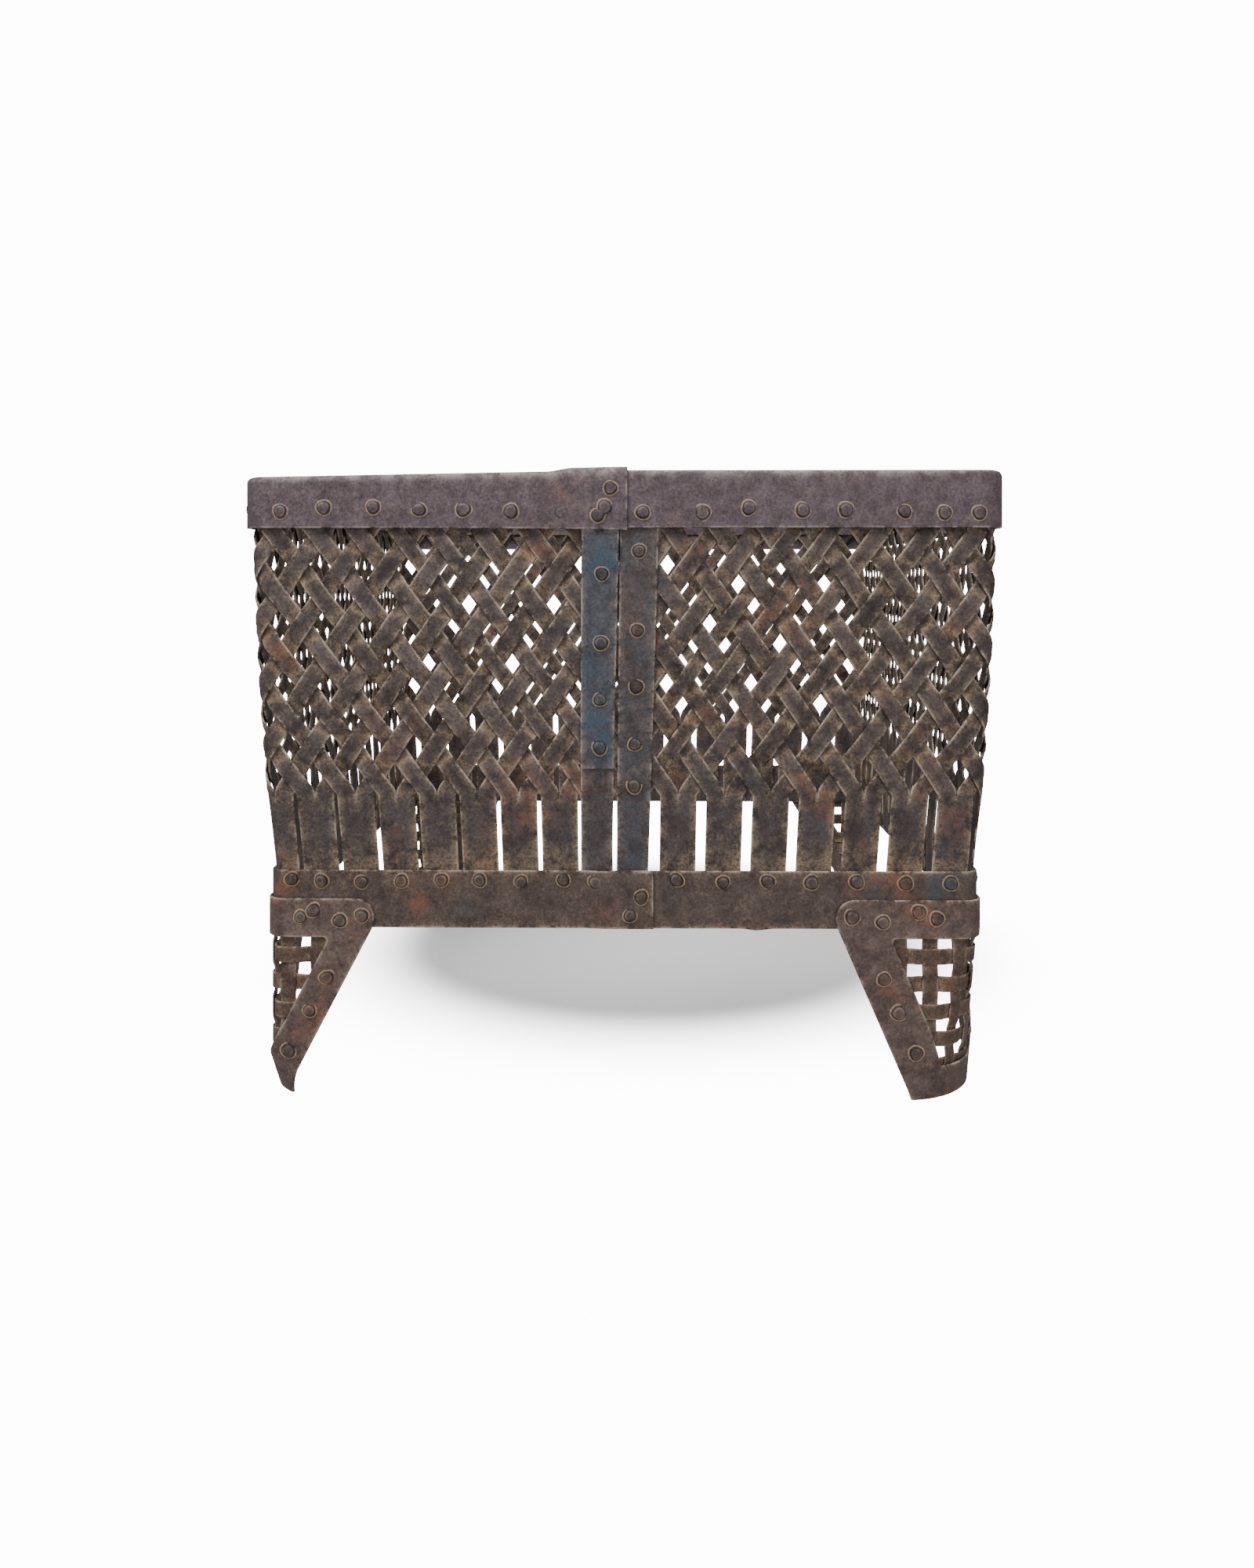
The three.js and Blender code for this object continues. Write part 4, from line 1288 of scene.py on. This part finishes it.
def rounded(corners: list[tuple[float, float, float]], spacing: float) -> Array:
    """Rounds a polygon's corners and sets points along its sides.

    Args:
        corners: Across, up and the corner's radius, counter-clockwise.
        spacing: The largest distance between points.

    Returns:
        The points of the closed outline.
    """
    outline: list[Array] = []
    count = len(corners)
    for i, (x, y, radius) in enumerate(corners):
        here = np.array([x, y])
        before = np.array(corners[i - 1][:2]) - here
        after = np.array(corners[(i + 1) % count][:2]) - here
        before, after = before / np.linalg.norm(before), after / np.linalg.norm(after)
        opening = math.acos(float(np.clip(before @ after, -1, 1)))
        reach = radius / math.tan(opening / 2)
        inwards = (before + after) / np.linalg.norm(before + after)
        centre = here + inwards * radius / math.sin(opening / 2)
        first, last = here + before * reach - centre, here + after * reach - centre
        for share in np.linspace(0, 1, max(2, int(radius / 1.2) + 2)):
            arm = first * (1 - share) + last * share
            outline.append(centre + arm / np.linalg.norm(arm) * radius)
    loop = np.array(outline)
    filled: list[Array] = []
    for a, b in zip(loop, np.roll(loop, -1, axis=0)):
        steps = max(1, math.ceil(np.linalg.norm(b - a) / spacing))
        filled += [a + (b - a) * share for share in np.arange(steps) / steps]
    return np.array(filled)


def inset(loop: Array, depth: float) -> Array:
    """Moves a counter-clockwise outline inwards, and a clockwise one outwards."""
    along = np.roll(loop, -1, axis=0) - np.roll(loop, 1, axis=0)
    along /= np.linalg.norm(along, axis=1, keepdims=True)
    return loop + depth * np.stack([-along[:, 1], along[:, 0]], axis=1)


def loop_gap(points: Array, loops: list[Array]) -> Array:
    """Distance from each point to the nearest side of some outlines."""
    best = np.full(len(points), np.inf)
    for loop in loops:
        for a, b in zip(loop, np.roll(loop, -1, axis=0)):
            side = b - a
            share = np.clip((points - a) @ side / (side @ side), 0, 1)
            best = np.minimum(best, np.linalg.norm(points - a - share[:, None] * side, axis=1))
    return best


def inside_loop(points: Array, loop: Array) -> Array:
    """Tells which points lie inside an outline."""
    x, y = points[:, :1], points[:, 1:]
    ax, ay = loop[:, 0], loop[:, 1]
    bx, by = np.roll(ax, -1), np.roll(ay, -1)
    spans = (ay > y) != (by > y)
    rise = np.where(by == ay, 1.0, by - ay)
    return (spans & (x < ax + (y - ay) / rise * (bx - ax))).sum(axis=1) % 2 == 1


@dataclass
class Leg:
    """A corner leg: a bent plate with two sloping bars, and a woven lattice behind its window."""

    shape: Shape
    rivets: Rivets
    name: str
    corner: int
    before: Wing
    after: Wing
    foot_radius: float = 50.0
    foot_rise: float = 118.0
    elbow_out: float = 5.5
    elbow_radius: float = 13.0
    window_drop: float = 6.3
    window_bottom: float = 22.5
    bar_rivets: tuple[float, ...] = (84.0, 61.0, 33.0)
    top_rivets: tuple[tuple[float, float], ...] = (
        (0.29, 126.0), (0.42, 130.5), (0.68, 123.5), (0.9, 127.0),
    )
    spacing: float = 3.0
    board: tuple[float, float] = (3.6, 4.2)
    strip: float = 11.0
    strip_thickness: float = 1.1
    column_pitch: float = 21.3
    row_pitch: float = 19.2
    hole_drop: float = 3.2
    margin: float = 6.0
    weave_depth: float = 0.72
    clearance: float = 0.2
    strip_station: float = 1.6

    def edge_at(self, wing: Wing, z: float) -> float:
        """Where a wing's free edge stands, measured from the corner."""
        return wing.tip + (wing.reach - wing.tip) * z / self.shape.band_bottom

    def outline(self) -> Array:
        """The plate's outer outline."""
        top = self.shape.leg_top
        corners = []
        for side, wing in ((1, self.after), (-1, self.before)):
            half = [
                (side * wing.tip, 0.0, 2.0 if wing.tip > 0 else 0.4),
                (side * wing.reach, self.shape.band_bottom, 10.0),
                (side * (wing.reach + self.elbow_out), top, self.elbow_radius),
            ]
            corners += half if side > 0 else half[::-1]
        return rounded(corners, self.spacing)

    def window(self) -> Array:
        """The window's outline, clockwise."""
        top = self.shape.band_bottom - self.window_drop
        low = self.window_bottom
        right_top = self.edge_at(self.after, top) - self.after.bar
        right_low = self.edge_at(self.after, low) - self.after.bar
        left_top = self.before.bar - self.edge_at(self.before, top)
        left_low = self.before.bar - self.edge_at(self.before, low)
        if right_low - left_low < 2:
            share = (right_top - left_top) / ((right_top - left_top) - (right_low - left_low))
            low = top - (top - low) * share
            middle = left_top + (left_low - left_top) * share
            foot = [(middle, low, 1.0)]
        else:
            foot = [(right_low, low, 1.2), (left_low, low, 1.2)]
        return rounded([*foot, (left_top, top, 2.5), (right_top, top, 2.5)], self.spacing)

    def plate(self) -> Sheet:
        """Makes the flat plate, with points set closer along its edges."""
        outline, window = self.outline(), self.window()
        loops = [outline, window]
        rings = [inset(loop, depth) for loop in loops for depth in (EDGE_ROUND, EDGE_WORN)]
        reach = max(self.before.reach, self.after.reach) + self.elbow_out
        pitch, rise = self.board
        heights = np.arange(0.0, self.shape.leg_top, rise)
        board = np.meshgrid(np.arange(-reach, reach, pitch), heights)
        inner = np.stack([board[0].ravel(), board[1].ravel()], axis=1)
        inner[:, 0] += pitch / 2 * (np.round(inner[:, 1] / rise) % 2)
        keep = inside_loop(inner, outline) & ~inside_loop(inner, window)
        keep &= loop_gap(inner, loops) > self.spacing
        points = np.concatenate([*loops, *rings, inner[keep]])
        edges, first = [], 0
        for loop in loops:
            count = len(loop)
            edges += [(first + i, first + (i + 1) % count) for i in range(count)]
            first += count
        found = delaunay_2d_cdt([Vector(point) for point in points], edges, [], 0, 1e-4)
        flat = np.array([list(point) for point in found[0]])
        middles = np.array([flat[list(face)].mean(axis=0) for face in found[2]])
        solid = inside_loop(middles, outline) & ~inside_loop(middles, window)
        faces = [tuple(face) for face, kept in zip(found[2], solid) if kept]
        gap = loop_gap(flat, loops)
        table = np.zeros((len(flat), len(Sheet.COLUMNS)))
        table[:, 0:2] = flat
        table[:, 2] = self.shape.leg_shift
        table[:, 3] = edge_half(gap, self.shape.leg_thickness - PLAY)
        table[:, 4] = edge_wear(gap)
        table[:, 5] = 0.35 * edge_wear(gap / 3)
        sheet = Sheet()
        sheet.add_triangles(table, faces)
        return sheet

    def rivet_spots(self) -> list[tuple[float, float, float]]:
        """Places of the rivets along the plate's top and down its bars."""
        face = self.shape.leg_shift + self.shape.leg_thickness / 2
        spots = []
        for side, wing in ((-1, self.before), (1, self.after)):
            spots += [(side * share * wing.reach, z, face) for share, z in self.top_rivets]
            for z in self.bar_rivets:
                reach = self.edge_at(wing, z) - wing.bar / 2
                if reach > self.rivets.radius:
                    spots.append((side * reach, z, face))
        return spots

    def strip_sheet(self, along: Array, centre: float, level: bool, start: int) -> Sheet:
        """Makes one woven strip.

        Args:
            along: Places along the strip.
            centre: Place of its middle line across it.
            level: Whether the strip runs level rather than up.
            start: 0 where the strip passes over the first crossing strip, and 1 where under.

        Returns:
            The flat sheet.
        """
        pitch = self.column_pitch if level else self.row_pitch
        origin = 0.0 if level else self.shape.band_bottom - self.window_drop - self.hole_drop
        phase = (along - origin) / pitch - 0.5
        wave = np.clip(np.cos(math.pi * (phase + start)) / 0.5, -1, 1)
        front = wave * (1.5 - 0.5 * wave**2)
        offsets = across(self.strip, 3.5)
        end_gap = np.minimum(along - along[0], along[-1] - along)[:, None]
        gap = np.minimum(self.strip / 2 - np.abs(offsets), end_gap)
        long = np.broadcast_to(along[:, None], gap.shape)
        wide = np.broadcast_to(centre + offsets * (-1 if level else 1), gap.shape)
        sheet = Sheet()
        back = self.shape.leg_shift - self.shape.leg_thickness / 2 - self.clearance
        middle = back - self.strip_thickness / 2 - self.weave_depth
        sheet.add_grid(
            u=long if level else wide, z=wide if level else long,
            shift=np.broadcast_to((middle + self.weave_depth * front)[:, None], gap.shape),
            half=edge_half(gap, self.strip_thickness), edge=0.6 * edge_wear(gap),
            recess=np.clip(0.6 * np.clip(-front, 0, 1)[:, None] + 0.5 * edge_wear(gap / 2), 0, 1),
        )
        return sheet

    def lattice(self) -> list[Sheet]:
        """Makes all strips of the lattice."""
        top = self.shape.band_bottom - self.shape.gap
        low = self.window_bottom - self.margin
        sheets = []
        for i in range(-5, 5):
            centre = (i + 0.5) * self.column_pitch
            wing = self.after if centre > 0 else self.before
            slope = (wing.reach - wing.tip) / self.shape.band_bottom
            foot = max(low, (abs(centre) + wing.bar - self.margin - wing.tip) / slope)
            if top - foot > self.row_pitch / 2:
                rows = np.linspace(foot, top, round((top - foot) / self.strip_station))
                sheets.append(self.strip_sheet(rows, centre, False, i % 2))
        first = self.shape.band_bottom - self.window_drop - self.hole_drop
        for j in range(0, 5):
            z = first - (j + 0.5) * self.row_pitch
            right = self.edge_at(self.after, z) - self.after.bar + self.margin
            left = self.before.bar - self.margin - self.edge_at(self.before, z)
            if right - left > self.strip and z - self.strip / 2 > low:
                columns = np.linspace(left, right, round((right - left) / self.strip_station))
                sheets.append(self.strip_sheet(columns, z, True, j % 2))
        return sheets

    def build(self) -> None:
        """Makes the plate, its rivets and the lattice."""
        place = self.shape.on_corner(self.corner, self.foot_radius, self.foot_rise)
        node = f"leg_{self.name}"
        sheet_piece(f"{node}.plate", [(self.plate(), place)], Finish.LEG, node)
        self.rivets.add_row(f"{node}_rivets", Finish.LEG, place, self.rivet_spots())
        lattice = f"leg_lattice_{self.name}"
        strips = [(sheet, place) for sheet in self.lattice()]
        sheet_piece(f"{lattice}.strips", strips, Finish.LATTICE, lattice)


# ---- The scene -----------------------------------------------------------------------------------


@dataclass
class Studio:
    """A white room and floor with a painted grey shadow disc, soft light, and a camera at the
    height of a seated viewer's eye.
    """

    eye: Spot = (0.0185, -1.0915, 0.3574)
    yaw: float = 0.0124
    lens: float = 27.88
    sensor: float = 36.0
    shift: tuple[float, float] = (-0.005, -0.1274)
    fill: float = 0.45
    wall: float = 14.0
    near_clip: float = 0.05
    floor_half: float = 6.0
    # Painted shadow: round this spot the floor is flat grey, fading to glowing white between the
    # two radii.
    shadow_disc_centre: Spot = (0.02, 0.15, 0.0)
    shadow_disc_inner: float = 0.22
    shadow_disc_outer: float = 0.4
    lit_point: Spot = (0.0, 0.0, 0.2)
    lights: tuple[tuple[str, Spot, float, float], ...] = (
        ("key", (-0.9, -1.5, 2.3), 1.0, 130.0),
        ("front", (0.9, -2.2, 0.9), 1.8, 40.0),
        ("top", (0.2, 0.3, 2.4), 1.6, 75.0),
    )

    def build(self) -> None:
        """Makes the camera, the floor and the lights."""
        data = bpy.data.cameras.new("camera")
        data.lens, data.sensor_width = self.lens, self.sensor
        data.shift_x, data.shift_y = self.shift
        data.clip_start = self.near_clip
        camera = bpy.data.objects.new("camera", data)
        camera.location = self.eye
        camera.rotation_euler = (QUARTER_TURN, 0.0, self.yaw)
        bpy.context.scene.collection.objects.link(camera)
        bpy.context.scene.camera = camera
        self.add_floor()
        self.add_world()
        for name, place, size, power in self.lights:
            self.add_light(name, place, size, power)

    def add_floor(self) -> None:
        """Adds a pale floor with a painted shadow: grey round the spot where the basket's shadow
        falls, glowing white beyond.
        """
        mesh = bpy.data.meshes.new("floor")
        half = self.floor_half
        corners = [(-half, -half, 0), (half, -half, 0), (half, half, 0), (-half, half, 0)]
        mesh.from_pydata(corners, [], [(0, 1, 2, 3)])
        floor = bpy.data.objects.new("floor", mesh)
        bpy.context.scene.collection.objects.link(floor)
        material = bpy.data.materials.new("Pale floor")
        material.use_nodes = True
        tree = material.node_tree
        tree.nodes.clear()
        seen = add_node(tree, "ShaderNodeLightPath").outputs["Is Camera Ray"]
        place = add_node(tree, "ShaderNodeTexCoord").outputs["Object"]
        away = add_node(
            tree, "ShaderNodeVectorMath", {"operation": "DISTANCE"}, in_0=place,
            in_1=self.shadow_disc_centre,
        )
        # Share of glowing white, from the painted shadow disc's edge outwards.
        far = add_node(
            tree, "ShaderNodeMapRange", {"interpolation_type": "SMOOTHSTEP"},
            in_0=away.outputs["Value"], in_1=self.shadow_disc_inner, in_2=self.shadow_disc_outer,
        )
        far_seen = add_node(
            tree, "ShaderNodeMath", {"operation": "MULTIPLY"}, in_0=far.outputs[0], in_1=seen,
        )
        # Painted shadow: the grey that the floor shows round the basket, where its shadow falls.
        near = add_node(tree, "ShaderNodeBsdfDiffuse", Color=linear("#b4b4b4"))
        glow = add_node(tree, "ShaderNodeEmission", Color=linear("#ffffff"), Strength=self.wall)
        shader = add_node(
            tree, "ShaderNodeMixShader", in_0=far_seen.outputs[0], in_1=near.outputs[0],
            in_2=glow.outputs[0],
        )
        add_node(tree, "ShaderNodeOutputMaterial", Surface=shader.outputs[0])
        mesh.materials.append(material)

    def add_world(self) -> None:
        """Fills the room with even white light."""
        world = bpy.data.worlds.new("white room")
        world.use_nodes = True
        tree = world.node_tree
        tree.nodes.clear()
        seen = add_node(tree, "ShaderNodeLightPath").outputs["Is Camera Ray"]
        fill = add_node(tree, "ShaderNodeBackground", Color=linear("#ffffff"), Strength=self.fill)
        wall = add_node(tree, "ShaderNodeBackground", Color=linear("#ffffff"), Strength=self.wall)
        mixed = add_node(
            tree, "ShaderNodeMixShader", in_0=seen, in_1=fill.outputs[0], in_2=wall.outputs[0],
        )
        add_node(tree, "ShaderNodeOutputWorld", Surface=mixed.outputs[0])
        bpy.context.scene.world = world

    def add_light(self, name: str, place: Spot, size: float, power: float) -> None:
        """Adds a soft square light that faces the basket's middle."""
        data = bpy.data.lights.new(name, "AREA")
        data.size, data.energy = size, power
        light = bpy.data.objects.new(name, data)
        light.location = place
        aim = Vector(self.lit_point) - Vector(place)
        light.rotation_euler = aim.to_track_quat("-Z", "Y").to_euler()
        bpy.context.scene.collection.objects.link(light)


def main() -> None:
    """Builds the basket piece by piece, in its room."""
    shape = Shape()
    layout = StrapLayout(shape)
    rivets = Rivets(shape)
    weave = Weave(shape, layout)
    weave.build()
    Stile(shape, rivets).build()
    BaseBand(shape, rivets, weave.straps).build()
    Rim(shape, rivets).build()
    Leg(shape, rivets, "front_right", 0, WIDE, WIDE).build()
    Leg(shape, rivets, "rear_right", 1, WIDE, NARROW).build()
    Leg(shape, rivets, "rear_left", 2, WIDE, WIDE).build()
    Leg(shape, rivets, "front_left", 3, WIDE, SLIM, foot_radius=38.0, foot_rise=30.0).build()
    Studio().build()


if __name__ == "__main__":
    logging.basicConfig(level=logging.INFO)
    main()
